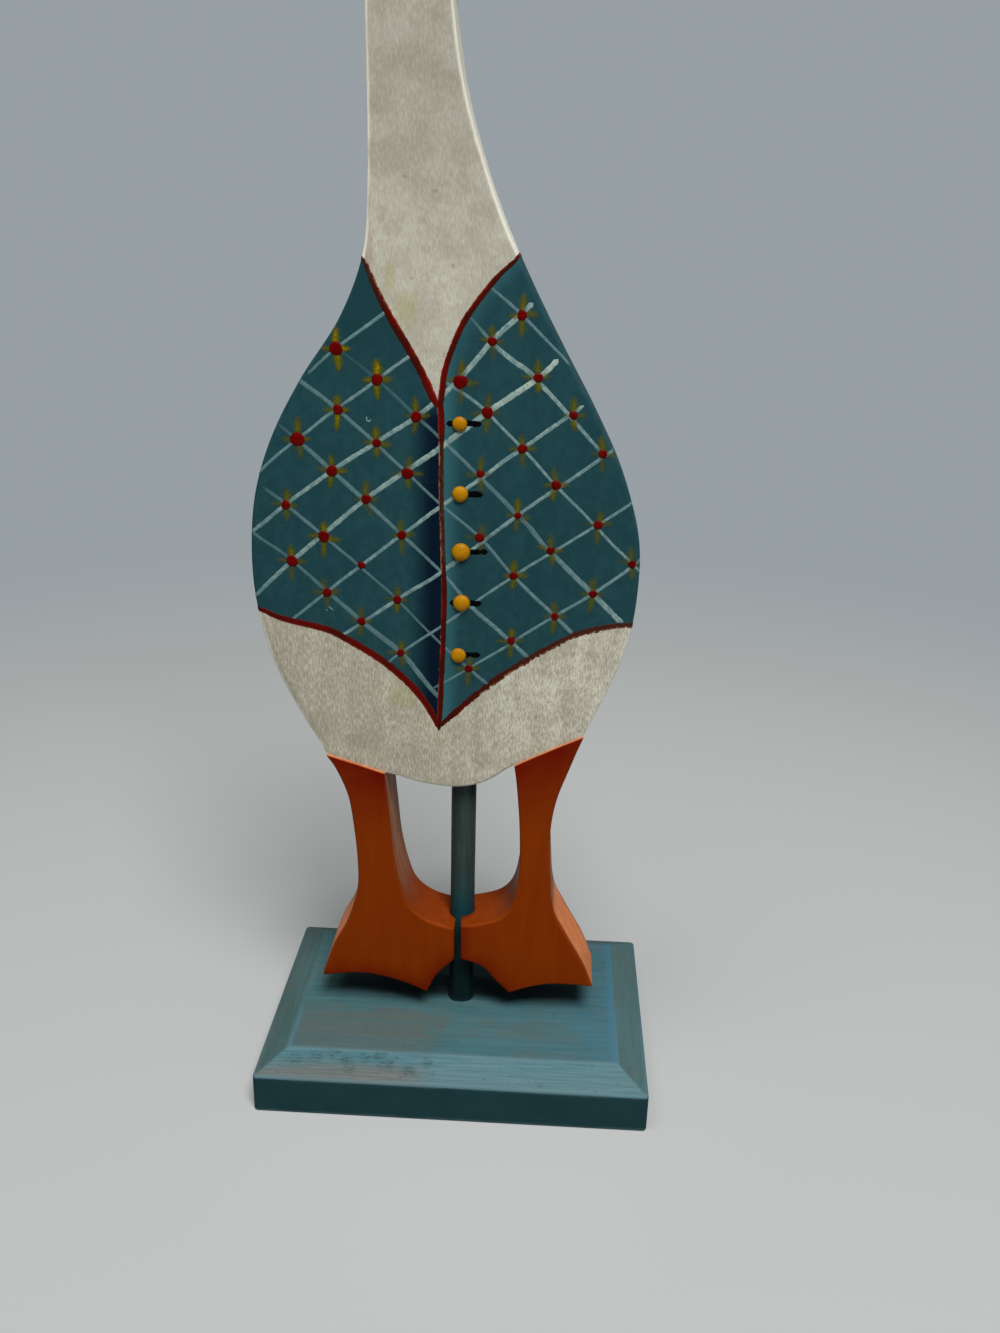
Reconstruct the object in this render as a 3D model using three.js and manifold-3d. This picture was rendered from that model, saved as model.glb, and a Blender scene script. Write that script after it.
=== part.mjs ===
// A country goose on a stand, in millimetres, +Z up. The goose faces -Y, its beak points to +X.
// The origin is the middle of the plaque's underside, which is what the figure rests on.
// One sawn board makes body, neck and head. Two thicker sawn legs are pegged under it, a round
// rod runs from the plaque between the feet into the body, and domed buttons go down the front.

import * as THREE from "three";
import { mergeVertices } from "three/addons/utils/BufferGeometryUtils.js";
import { ConvexGeometry } from "three/addons/geometries/ConvexGeometry.js";
import Module from "manifold-3d";

const wasm = await Module();
wasm.setup();

// Plaque: a block with upright edges and a bevel all round its top
const plaqueWidth = 150;
const plaqueDepth = 101.6;
const plaqueEdgeHeight = 15.9;
const plaqueBevelRise = 5.8;
const plaqueBevelRun = 11.4;
const plaqueCornerRadius = 1.6;
const plaqueFootEasing = 0.8;

// Rod: its place on the plaque, and how far it goes into the plaque and into the body
const rodDiameter = 9.6;
const rodOffCentreX = 0.5;
const rodOffCentreY = -1.5;
const rodDepthInPlaque = 16;
const rodDepthInBody = 38;
const rodEndChamfer = 0.8;

// Goose: toes to crown, across the body at its widest, the boards' thicknesses, their eased
// edges, and the toes' height over the plaque
const gooseHeight = 419.2;
const gooseWidth = 136;
const bodyThickness = 20.5;
const bodyEasing = 1.3;
const legThickness = 24;
const legEasing = 0.7;
const toeHeight = 8.9;

// Pegs: one hidden in each hip, sunk equally into the leg and into the body
const pegDiameter = 6.4;
const pegDepth = 15;
const pegEndChamfer = 0.6;

// Buttons, top to bottom, each a little different, how far one stands up for its width,
// and the upright rim under its dome
const buttonDiameters = [5, 5.6, 6.5, 6.1, 5.6];
const buttonRiseShare = 0.3;
const buttonRim = 0.5;

// Fits: round a rod or peg, past its end, at a glued face, and between the rod and the feet
const boreClearance = 0.3;
const endClearance = 0.3;
const glueGap = 0.3;
const footClearance = 0.3;

// Facets: points per step of a curve, and sides of a round
const curveSteps = 4;
const cornerSteps = 4;
const easingSteps = 2;
const rodSides = 32;
const pegSides = 20;
const buttonSides = 24;
const buttonRings = 5;

// The sawing pattern, seen from the front: x from the rod's axis, height from the lowest toe.
// Each list is one smooth stretch, and a corner is where two stretches meet. The pattern is
// drawn at full size, and is stretched to gooseHeight and gooseWidth where those differ.
const flankLeft = [
  [-32.4, 349.4], [-32.2, 319.4], [-32.5, 299.4], [-34.3, 279.4], [-42.4, 259.4], [-56, 239.4],
  [-66.8, 219.4], [-73.3, 199.4], [-75.4, 178], [-74.2, 159.4], [-69.4, 139.4], [-60.2, 119.4],
  [-50.6, 102.9],
];
const belly = [
  [-50.6, 102.9], [-39.5, 99.6], [-29, 96.3], [-15, 92.3], [-3, 91.2], [5.6, 92.7], [12, 96],
  [19.4, 101.6], [32, 108.3], [44.3, 114.4],
];
const flankRight = [
  [44.3, 114.4], [51, 129.4], [58, 149.4], [60.6, 169.4], [59.8, 189.4], [53.7, 209.4],
  [43.8, 229.4], [32.3, 249.4], [21.2, 269.4], [11.3, 289.4], [3.5, 309.4], [-2.3, 329.4],
  [-5.5, 349.4], [-6.4, 361], [-4.6, 370.5], [0, 377.6], [5, 381.2],
];
const beakUnder = [[5, 381.2], [17, 379.6], [30, 376.6]];
const beakTip = [[30, 376.6], [33.4, 377.4], [34.6, 380], [33, 383]];
const beakRidge = [[33, 383], [24, 387.6], [14, 393], [6.5, 400.4]];
const crown = [
  [6.5, 400.4], [2.8, 409], [-5, 416], [-15.5, 419.2], [-26.5, 416.6], [-34.8, 408.8],
  [-38.4, 397], [-37.6, 383.5], [-34.4, 370.5], [-32.7, 360], [-32.4, 349.4],
];

// The belly's points at which each leg's top begins and ends
const leftHip = [0, 2];
const rightHip = [7, 9];

// Each leg goes round from its hip's left corner to its hip's right corner
const leftLeg = [
  [
    [-50.6, 102.9], [-47.6, 98.1], [-43.1, 86.9], [-41.2, 74.4], [-40, 59.4], [-40.3, 46.2],
    [-44.4, 31.9], [-50, 20.7], [-53.8, 10], [-55, 5.6],
  ],
  [[-55, 5.6], [-42.5, 7.3], [-35, 7.1], [-27.5, 5.6], [-20, 3.1], [-13.1, 0]],
  [[-13.1, 0], [-10.2, 6.3], [-8.1, 9.6], [-2.4, 15.6]],
  [[-2.4, 15.6], [-2.4, 30.2]],
  [
    [-2.4, 30.2], [-12.5, 33.2], [-19.4, 38.8], [-22.7, 46.9], [-25.6, 60.4], [-27.2, 76.9],
    [-28.5, 90.4], [-29, 96.3],
  ],
];
const rightLeg = [
  [
    [19.4, 101.6], [20.5, 93.4], [21.9, 78.2], [22.5, 63.2], [22.2, 53.4], [20, 41.9],
    [15, 35.6], [6.2, 32.5], [0.2, 31.7],
  ],
  [[0.2, 31.7], [0.4, 16.3]],
  [[0.4, 16.3], [8.8, 13.2], [14.4, 6.9], [20, 1.3]],
  [[20, 1.3], [27.5, 4.4], [35, 6.3], [42.5, 6.7], [53.1, 6.3]],
  [
    [53.1, 6.3], [48.8, 16.9], [41.2, 30.6], [36.2, 41.2], [34.5, 57], [33.8, 74.4],
    [35.6, 88.2], [40, 101.9], [44.3, 114.4],
  ],
];
const buttonPlaces = [[-2.4, 226.5], [-2, 202.8], [-1.5, 182.4], [-1.1, 163.9], [-2, 144.2]];

// Sizes that follow from the ones above
const drawnHeight = Math.max(...crown.map(([, z]) => z));
const drawnWidth = widest(flankRight) - widest(flankLeft);
const plaqueHeight = plaqueEdgeHeight + plaqueBevelRise;
const toeLevel = plaqueHeight + toeHeight;
const rodFoot = plaqueHeight - rodDepthInPlaque;
const bellyOverRod = toeLevel + heightOnCurve(belly, 0);
const rodTop = bellyOverRod + rodDepthInBody;
const boreRadius = rodDiameter / 2 + boreClearance;
const pegBoreRadius = pegDiameter / 2 + boreClearance;
const legCornerReach = 3 * legEasing;

const finishes = {
  plaque: paint(0x2f4f55, 0.6),
  rod: paint(0x2b3a3c, 0.6),
  body: paint(0xbdb7a3, 0.75),
  leg: paint(0x8a3a0c, 0.65),
  peg: paint(0xc8a878, 0.8),
  button: paint(0xd79a12, 0.5),
};

function paint(color, roughness) {
  return new THREE.MeshStandardMaterial({ color, roughness, metalness: 0 });
}

// The x of a side's point that lies farthest from the rod's axis
function widest(side) {
  return side.reduce((far, [x]) => (Math.abs(x) > Math.abs(far) ? x : far), 0);
}

// A point of the pattern, stretched to the goose's own height and width
function onBoard([x, z]) {
  return new THREE.Vector2((x * gooseWidth) / drawnWidth, (z * gooseHeight) / drawnHeight);
}

// A smooth stretch through the pattern's points, with a few points between each pair
function smooth(points) {
  const curve = new THREE.SplineCurve(points.map(onBoard));
  return curve.getPoints((points.length - 1) * curveSteps);
}

// The height of a smooth stretch at one x, found between its two nearest points
function heightOnCurve(points, x) {
  const curve = smooth(points);
  const next = curve.findIndex((point) => point.x >= x);
  const before = curve[next - 1];
  const after = curve[next];
  return THREE.MathUtils.mapLinear(x, before.x, after.x, before.y, after.y);
}

// Stretches that follow each other round a shape, without repeating the corners between them.
// Points nearer a sharp corner than its eased edge reaches are left out.
function outline(cornerReach, ...stretches) {
  const points = stretches.flatMap((stretch) => {
    const start = stretch[0];
    const end = stretch.at(-1);
    const between = stretch.slice(1, -1).filter(
      (point) => point.distanceTo(start) > cornerReach && point.distanceTo(end) > cornerReach,
    );
    return [start, ...between];
  });
  return new THREE.Shape(points);
}

// A leg's top: the belly's curve between two of its points, lowered square to itself
function hipSeat([first, last]) {
  const curve = smooth(belly).slice(first * curveSteps, last * curveSteps + 1);
  return curve.map((point, index) => {
    const before = curve[Math.max(index - 1, 0)];
    const after = curve[Math.min(index + 1, curve.length - 1)];
    const along = after.clone().sub(before).normalize();
    return new THREE.Vector2(point.x + along.y * glueGap, point.y - along.x * glueGap);
  });
}

// A board sawn to a shape, with eased edges, standing upright and centred on the rod's axis
function board(shape, thickness, easing) {
  const geometry = new THREE.ExtrudeGeometry(shape, {
    depth: thickness - 2 * easing,
    bevelThickness: easing,
    bevelSize: easing,
    bevelOffset: -easing,
    bevelSegments: easingSteps,
    curveSegments: 1,
  });
  geometry.translate(0, 0, easing - thickness / 2);
  geometry.rotateX(Math.PI / 2);
  geometry.translate(rodOffCentreX, rodOffCentreY, toeLevel);
  return geometry;
}

// A turned piece: radius and height pairs, from the axis at the bottom to the axis at the top
function turned(profile, sides) {
  const points = profile.map(([radius, height]) => new THREE.Vector2(radius, height));
  const geometry = new THREE.LatheGeometry(points, sides);
  geometry.rotateX(Math.PI / 2);
  return geometry;
}

// A round stick or a bore, upright, with its ends chamfered by the given amount
function upright(radius, bottom, top, sides, chamfer = 0) {
  const bottomEdge = chamfer > 0 ? [[radius - chamfer, bottom]] : [];
  const topEdge = chamfer > 0 ? [[radius - chamfer, top]] : [];
  const wall = [[radius, bottom + chamfer], [radius, top - chamfer]];
  return turned([[0, bottom], ...bottomEdge, ...wall, ...topEdge, [0, top]], sides);
}

function solid(geometry) {
  const bare = geometry.clone();
  bare.deleteAttribute("normal");
  bare.deleteAttribute("uv");
  const merged = mergeVertices(bare, 1e-4);
  const vertProperties = merged.attributes.position.array;
  const triVerts = Uint32Array.from(merged.index.array);
  return new wasm.Manifold(new wasm.Mesh({ numProp: 3, vertProperties, triVerts }));
}

// A geometry with others cut out of it
function cut(geometry, ...cutters) {
  const left = cutters.reduce((rest, cutter) => rest.subtract(solid(cutter)), solid(geometry));
  const mesh = left.getMesh();
  const result = new THREE.BufferGeometry();
  result.setAttribute("position", new THREE.BufferAttribute(mesh.vertProperties, 3));
  result.setIndex(new THREE.BufferAttribute(mesh.triVerts, 1));
  result.computeVertexNormals();
  return result;
}

// The rod's bore, from one level to another
function rodBore(bottom, top) {
  return upright(boreRadius, bottom, top, rodSides).translate(rodOffCentreX, rodOffCentreY, 0);
}

// Where a peg stands: in the middle of a leg's top, with its own middle on the belly
function pegPlace([first, last]) {
  const curve = smooth(belly);
  const middle = curve[((first + last) / 2) * curveSteps];
  return new THREE.Vector3(rodOffCentreX + middle.x, rodOffCentreY, toeLevel + middle.y);
}

function pegBore(hip) {
  const reach = pegDepth + endClearance;
  const place = pegPlace(hip);
  return upright(pegBoreRadius, -reach, reach, pegSides).translate(place.x, place.y, place.z);
}

// A rounded rectangle at one level, as corner arcs of the given radius
function rectangleAt(width, depth, radius, level) {
  const points = [];
  for (let corner = 0; corner < 4; corner += 1) {
    const signX = corner === 0 || corner === 3 ? 1 : -1;
    const signY = corner < 2 ? 1 : -1;
    for (let step = 0; step <= cornerSteps; step += 1) {
      const angle = ((corner + step / cornerSteps) * Math.PI) / 2;
      const x = signX * (width / 2 - radius) + radius * Math.cos(angle);
      const y = signY * (depth / 2 - radius) + radius * Math.sin(angle);
      points.push(new THREE.Vector3(x, y, level));
    }
  }
  return points;
}

function plaqueBlock() {
  const eased = 2 * plaqueFootEasing;
  const narrowed = 2 * plaqueBevelRun;
  const footRadius = plaqueCornerRadius - plaqueFootEasing / 2;
  return new ConvexGeometry([
    ...rectangleAt(plaqueWidth - eased, plaqueDepth - eased, footRadius, 0),
    ...rectangleAt(plaqueWidth, plaqueDepth, plaqueCornerRadius, plaqueFootEasing),
    ...rectangleAt(plaqueWidth, plaqueDepth, plaqueCornerRadius, plaqueEdgeHeight),
    ...rectangleAt(plaqueWidth - narrowed, plaqueDepth - narrowed, plaqueFootEasing, plaqueHeight),
  ]);
}

function plaque() {
  const socket = rodBore(rodFoot - endClearance, plaqueHeight + plaqueEdgeHeight);
  return cut(plaqueBlock(), socket);
}

function rod() {
  const stick = upright(rodDiameter / 2, rodFoot, rodTop, rodSides, rodEndChamfer);
  return stick.translate(rodOffCentreX, rodOffCentreY, 0);
}

function body() {
  const shape = outline(
    0, smooth(flankLeft), smooth(belly), smooth(flankRight),
    smooth(beakUnder), smooth(beakTip), smooth(beakRidge), smooth(crown),
  );
  const socket = rodBore(toeLevel, rodTop + endClearance);
  return cut(board(shape, bodyThickness, bodyEasing), socket, pegBore(leftHip), pegBore(rightHip));
}

// A leg's sides meet its seat under the belly at the seat's own corners, and the foot is
// hollowed along its inner edge where it closes round the rod
function leg(pattern, hip) {
  const seat = hipSeat(hip);
  const sides = pattern.map(smooth);
  sides[0][0] = seat[0];
  sides.at(-1)[sides.at(-1).length - 1] = seat.at(-1);
  const shape = outline(legCornerReach, ...sides, seat.toReversed());
  const groove = upright(rodDiameter / 2 + footClearance, plaqueHeight, bellyOverRod, rodSides);
  groove.translate(rodOffCentreX, rodOffCentreY, 0);
  return cut(board(shape, legThickness, legEasing), groove, pegBore(hip));
}

function peg(hip) {
  const place = pegPlace(hip);
  const stick = upright(pegDiameter / 2, -pegDepth, pegDepth, pegSides, pegEndChamfer);
  return stick.translate(place.x, place.y, place.z);
}

// A low dome on a short upright rim, its flat back glued to the board's front face
function button(diameter, place) {
  const radius = diameter / 2;
  const rise = diameter * buttonRiseShare - buttonRim;
  const dome = [];
  for (let ring = 0; ring <= buttonRings; ring += 1) {
    const angle = (ring / buttonRings) * (Math.PI / 2);
    dome.push([radius * Math.cos(angle), buttonRim + rise * Math.sin(angle)]);
  }
  dome[buttonRings][0] = 0;
  const geometry = turned([[0, 0], [radius, 0], ...dome], buttonSides);
  geometry.rotateX(Math.PI / 2);
  const back = rodOffCentreY - bodyThickness / 2 - glueGap;
  const centre = onBoard(place);
  return geometry.translate(rodOffCentreX + centre.x, back, toeLevel + centre.y);
}

const goose = new THREE.Group();

function add(name, geometry, finish) {
  const mesh = new THREE.Mesh(geometry, finish);
  mesh.name = name;
  goose.add(mesh);
}

add("base_plaque", plaque(), finishes.plaque);
add("support_rod", rod(), finishes.rod);
add("body_board", body(), finishes.body);
add("left_leg", leg(leftLeg, leftHip), finishes.leg);
add("right_leg", leg(rightLeg, rightHip), finishes.leg);
add("left_hip_peg", peg(leftHip), finishes.peg);
add("right_hip_peg", peg(rightHip), finishes.peg);
buttonPlaces.forEach((place, index) => {
  add(`button_${index + 1}`, button(buttonDiameters[index], place), finishes.button);
});

export default goose;
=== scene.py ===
import math

import bmesh
import bpy
import numpy as np
from mathutils import Matrix, Vector
from mathutils.geometry import delaunay_2d_cdt


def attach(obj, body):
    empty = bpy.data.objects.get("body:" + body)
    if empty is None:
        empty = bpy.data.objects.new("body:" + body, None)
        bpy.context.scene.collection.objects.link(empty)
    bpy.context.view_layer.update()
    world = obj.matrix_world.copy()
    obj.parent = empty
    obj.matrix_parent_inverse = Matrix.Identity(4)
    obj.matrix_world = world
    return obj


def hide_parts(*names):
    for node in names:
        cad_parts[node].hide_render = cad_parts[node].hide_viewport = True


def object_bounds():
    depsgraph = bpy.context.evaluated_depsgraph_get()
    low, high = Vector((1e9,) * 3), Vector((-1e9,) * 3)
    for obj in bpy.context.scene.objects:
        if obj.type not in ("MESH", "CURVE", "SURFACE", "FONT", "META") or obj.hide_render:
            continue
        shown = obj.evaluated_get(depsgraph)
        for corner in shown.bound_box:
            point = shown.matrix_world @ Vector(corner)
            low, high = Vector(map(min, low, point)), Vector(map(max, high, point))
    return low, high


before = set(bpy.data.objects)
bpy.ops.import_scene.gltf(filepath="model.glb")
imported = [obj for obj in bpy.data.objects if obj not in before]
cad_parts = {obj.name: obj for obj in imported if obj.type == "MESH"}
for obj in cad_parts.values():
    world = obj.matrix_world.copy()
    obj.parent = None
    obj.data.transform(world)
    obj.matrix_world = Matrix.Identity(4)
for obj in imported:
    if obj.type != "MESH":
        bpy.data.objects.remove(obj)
cad_low, cad_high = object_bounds()
MM = 0.001

# Camera
# Stands where the photograph was taken: a little above the goose and nearly straight in front,
# and turned very slightly to the side.
CAMERA_PLACE = Vector((29.58, -401.74, 318.45)) * MM
CAMERA_YAW = -0.041
CAMERA_PITCH = 0.361
CAMERA_ROLL = -0.025
CAMERA_LENS = 31.31


def stand_camera():
    """Makes the scene's camera and turns it the way the photograph looks."""
    ahead = Vector((
        math.sin(CAMERA_YAW) * math.cos(CAMERA_PITCH),
        math.cos(CAMERA_YAW) * math.cos(CAMERA_PITCH),
        -math.sin(CAMERA_PITCH),
    ))
    level = Vector((math.cos(CAMERA_YAW), -math.sin(CAMERA_YAW), 0))
    down = ahead.cross(level)
    right = math.cos(CAMERA_ROLL) * level + math.sin(CAMERA_ROLL) * down
    down = math.cos(CAMERA_ROLL) * down - math.sin(CAMERA_ROLL) * level
    camera = bpy.data.objects.new("camera", bpy.data.cameras.new("camera"))
    camera.data.lens = CAMERA_LENS
    camera.data.sensor_width = 36
    turned = Matrix((right, -down, -ahead)).transposed().to_4x4()
    camera.matrix_world = Matrix.Translation(CAMERA_PLACE) @ turned
    bpy.context.scene.collection.objects.link(camera)
    bpy.context.scene.camera = camera


stand_camera()

# Studio
# A wide pale floor that runs into a pale background, one soft box high before the goose and to
# its right, a weaker one to its left, and faint even light all round. None of it is the object.
STUDIO_PALE = (0.310, 0.348, 0.370)
FLOOR_COLOUR = (0.38, 0.39, 0.385)
FLOOR_GLOW = (0.50, 0.525, 0.515)
# how much of the floor round the goose glows, so that the shadows on it stay faint
FLOOR_GLOW_SHARE = 0.45
GLOW_FROM = 0.06
GLOW_TO = 0.15
FLOOR_RADIUS = 6.0
FLOOR_FADES_FROM = 0.22
FLOOR_FADES_TO = 0.85
AMBIENT_LEVEL = 0.09


class Wire:
    """One value on its way between shader nodes. Wires can be added, multiplied and so on, with
    one another or with numbers, and each such sum becomes a node."""

    def __init__(self, socket):
        self.socket = socket
        self.tree = socket.id_data

    def __add__(self, other):
        return reckon("ADD", self, other)

    def __sub__(self, other):
        return reckon("SUBTRACT", self, other)

    def __rsub__(self, other):
        return reckon("SUBTRACT", other, self)

    def __mul__(self, other):
        return reckon("MULTIPLY", self, other)

    def __rtruediv__(self, other):
        return reckon("DIVIDE", other, self)


def plug_in(value, socket):
    """Feeds a socket with a wire, or sets it to a value. A colour's alpha is always 1."""
    if isinstance(value, Wire):
        value.tree.links.new(value.socket, socket)
    elif socket.type == "RGBA":
        socket.default_value = (*value[:3], 1)
    else:
        socket.default_value = value


def add_node(tree, kind, inputs=None, **settings):
    """Adds a shader node. Its inputs are named or numbered, and take a wire or a value."""
    made = tree.nodes.new("ShaderNode" + kind)
    for name, value in settings.items():
        setattr(made, name, value)
    for key, value in (inputs or {}).items():
        plug_in(value, made.inputs[key])
    return made


def from_node(tree, kind, inputs=None, output=0, **settings):
    """Adds a shader node and gives the wire that leaves it."""
    return Wire(add_node(tree, kind, inputs, **settings).outputs[output])


def reckon(operation, first, second=0.0, clamp=False):
    """Does one sum on two wires, or on a wire and a number."""
    tree = (first if isinstance(first, Wire) else second).tree
    return from_node(tree, "Math", {0: first, 1: second}, operation=operation, use_clamp=clamp)


def highest(value, *others):
    """The highest of several wires or numbers."""
    for other in others:
        value = reckon("MAXIMUM", value, other)
    return value


def on_vectors(operation, first, second=(0, 0, 0), output="Vector"):
    """Does one sum on two vectors, or on the first alone."""
    return from_node(first.tree, "VectorMath", {0: first, 1: second}, output, operation=operation)


def fade(value, start, end, low=0.0, high=1.0):
    """Goes softly from low to high while value goes from start to end."""
    sockets = {"Value": value, "From Min": start, "From Max": end, "To Min": low, "To Max": high}
    return from_node(value.tree, "MapRange", sockets, interpolation_type="SMOOTHSTEP")


def mix(share, under, over, name=""):
    """Lays one colour over another, by a share from 0 to 1."""
    return from_node(share.tree, "Mix", {0: share, 6: under, 7: over}, 2, data_type="RGBA", label=name)


def new_material(name):
    """Starts an empty material, and gives its tree and the socket of its output."""
    material = bpy.data.materials.new(name)
    material.use_nodes = True
    material.node_tree.nodes.clear()
    return material, material.node_tree, add_node(material.node_tree, "OutputMaterial").inputs[0]


def seen_directly(tree):
    """1 for a ray from the camera, a reflection or a refraction, and 0 for one of light."""
    path = add_node(tree, "LightPath").outputs
    return highest(*[Wire(path[f"Is {ray} Ray"]) for ray in ("Camera", "Glossy", "Transmission")])


def lay_floor():
    """Lays the floor, a disc that fades into the background colour far from the goose."""
    disc = bmesh.new()
    bmesh.ops.create_circle(disc, cap_ends=True, segments=96, radius=FLOOR_RADIUS)
    mesh = bpy.data.meshes.new("floor")
    disc.to_mesh(mesh)
    disc.free()
    floor = bpy.data.objects.new("floor", mesh)
    bpy.context.scene.collection.objects.link(floor)
    material, tree, output = new_material("floor_pale")
    away = on_vectors("LENGTH", from_node(tree, "TexCoord", output="Object"), output="Value")
    far = fade(away, FLOOR_FADES_FROM, FLOOR_FADES_TO)
    near_by = fade(away, GLOW_FROM, GLOW_TO, 0.0, FLOOR_GLOW_SHARE)
    glows = highest(near_by, far) * seen_directly(tree)
    matt = from_node(tree, "BsdfDiffuse", {"Color": FLOOR_COLOUR})
    glow = from_node(tree, "Emission", {"Color": mix(far, FLOOR_GLOW, STUDIO_PALE), "Strength": 1.0})
    plug_in(from_node(tree, "MixShader", {0: glows, 1: matt, 2: glow}), output)
    mesh.materials.append(material)


def light_world():
    """Lights the goose evenly from all round, before a plain pale background."""
    world = bpy.data.worlds.new("studio")
    world.use_nodes = True
    tree = world.node_tree
    tree.nodes.clear()
    light = from_node(tree, "Background", {"Color": (1, 1, 1), "Strength": AMBIENT_LEVEL})
    pale = from_node(tree, "Background", {"Color": STUDIO_PALE, "Strength": 1.0})
    mixed = from_node(tree, "MixShader", {0: seen_directly(tree), 1: light, 2: pale})
    plug_in(mixed, add_node(tree, "OutputWorld").inputs[0])
    bpy.context.scene.world = world


def hang_soft_box(name, place, size, power):
    """Hangs a square soft box that looks at the middle of the goose."""
    lamp = bpy.data.lights.new(name, "AREA")
    lamp.size = size
    lamp.energy = power
    box = bpy.data.objects.new(name, lamp)
    box.location = place
    middle = (cad_low + cad_high) / 2
    box.rotation_euler = (middle - box.location).to_track_quat("-Z", "Y").to_euler()
    bpy.context.scene.collection.objects.link(box)


lay_floor()
light_world()
hang_soft_box("soft_box_right", place=Vector((0.24, -0.72, 1.34)), size=0.55, power=30)
hang_soft_box("soft_box_left", place=Vector((-0.40, -0.36, 1.50)), size=0.6, power=5.5)
bpy.context.scene.view_settings.view_transform = "Standard"

# Base plaque
# A block of softwood with upright edges and a bevel all round its top. It is brushed along its
# length with blue-green paint, which is rubbed thin on the bevel and the top. The bevel and the top
# are also painted paler than the wall, as painted light falling from above.
PLAQUE_SIZE = (150, 101.6)
PLAQUE_WALL_TOP = 15.9
PLAQUE_HEIGHT = 21.7
PLAQUE_BEVEL_RUN = 11.4
PLAQUE_CORNER = 1.6
PLAQUE_SOCKET_DEPTH = 16.3
ROD_AXIS = (0.5, -1.5)
ROD_CLEARANCE = 0.2
ROD_RADIUS = 4.8
# from which angle on, in degrees, an edge looks sharp
SHARP_FROM = 40
# x and y of the dark scuffs on the front bevel, and their half lengths
BEVEL_SCUFFS = [
    (-60, -43.5, 3.4), (-52, -42.5, 3.0), (-45, -41, 2.6), (-40, -43, 3.0), (-39, -46, 2.4), (-33, -42, 2.2),
    (-27.5, -40.8, 2.6), (-25, -44, 3.0), (-16, -45.5, 2.4), (-9, -42.5, 2.0),
]
# middle and half size of the painted shadow on the top, under the feet
UNDER_FEET_PAINTED_SHADOW = [((0, 4, 21.7), (56, 9, 5))]


def make_piece(name, points, faces, material, marks=None):
    """Makes one mesh from points in millimetres. A mark is one number for each point."""
    mesh = bpy.data.meshes.new(name)
    mesh.from_pydata((np.asarray(points, float) * MM).tolist(), [], [list(f) for f in faces])
    for mark, values in (marks or {}).items():
        layer = mesh.attributes.new(mark, "FLOAT", "POINT")
        layer.data.foreach_set("value", np.asarray(values, np.float32))
    mesh.polygons.foreach_set("use_smooth", [True] * len(mesh.polygons))
    tidy = bmesh.new()
    tidy.from_mesh(mesh)
    bmesh.ops.recalc_face_normals(tidy, faces=tidy.faces)
    tidy.to_mesh(mesh)
    tidy.free()
    mesh.set_sharp_from_angle(angle=math.radians(SHARP_FROM))
    piece = bpy.data.objects.new(name, mesh)
    bpy.context.scene.collection.objects.link(piece)
    mesh.materials.append(material)
    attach(piece, "root")
    return piece


def walls_between(rows, count):
    """The faces that join rows of points all round, with so many points in each row."""
    faces = []
    for row in range(rows - 1):
        start = row * count
        for i in range(count):
            j = (i + 1) % count
            faces.append((start + i, start + j, start + count + j, start + count + i))
    return faces


def skin(rings):
    """Joins equal rings of points into a closed skin with a flat cap at either end."""
    count = len(rings[0])
    total = len(rings) * count
    faces = [range(count)[::-1], *walls_between(len(rings), count), range(total - count, total)]
    return np.vstack(rings), faces


def drill(piece, bottom, top):
    """Cuts the upright hole for the rod in a piece, between two heights in millimetres."""
    drill_bit = bmesh.new()
    place = Matrix.Translation(Vector((*ROD_AXIS, (bottom + top) / 2)) * MM)
    radius = (ROD_RADIUS + ROD_CLEARANCE) * MM
    bmesh.ops.create_cone(
        drill_bit, cap_ends=True, segments=64, radius1=radius, radius2=radius,
        depth=(top - bottom) * MM, matrix=place,
    )
    mesh = bpy.data.meshes.new("drill_bit")
    drill_bit.to_mesh(mesh)
    drill_bit.free()
    cutter = bpy.data.objects.new("drill_bit", mesh)
    bpy.context.scene.collection.objects.link(cutter)
    hole = piece.modifiers.new("hole", "BOOLEAN")
    hole.object = cutter
    hole.solver = "EXACT"
    bpy.context.view_layer.update()
    shaped = piece.evaluated_get(bpy.context.evaluated_depsgraph_get())
    cut = bpy.data.meshes.new_from_object(shaped)
    piece.modifiers.clear()
    piece.data = cut
    bpy.data.objects.remove(cutter)


def keep_flats_flat(piece):
    """Keeps the flat faces next to an eased edge looking flat."""
    piece.modifiers.new("flat_faces", "WEIGHTED_NORMAL").keep_sharp = True


def plaque_ring(inset, height, corner):
    """One level of the plaque: a rectangle with rounded corners, evenly divided."""
    half = [PLAQUE_SIZE[0] / 2 - inset, PLAQUE_SIZE[1] / 2 - inset]
    corners = [(1, 1, 0), (-1, 1, 1), (-1, -1, 2), (1, -1, 3)]
    arcs = []
    for sign_x, sign_y, quarter in corners:
        angle = (quarter + np.linspace(0, 1, 5)) * math.pi / 2
        x = sign_x * (half[0] - corner) + corner * np.cos(angle)
        y = sign_y * (half[1] - corner) + corner * np.sin(angle)
        arcs.append(np.column_stack([x, y]))
    ring = []
    for arc, following in zip(arcs, arcs[1:] + arcs[:1]):
        share = np.linspace(0, 1, 17)[1:-1, None]
        ring += [arc, arc[-1] + (following[0] - arc[-1]) * share]
    ring = np.vstack(ring)
    return np.column_stack([ring, np.full(len(ring), height)])


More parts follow.
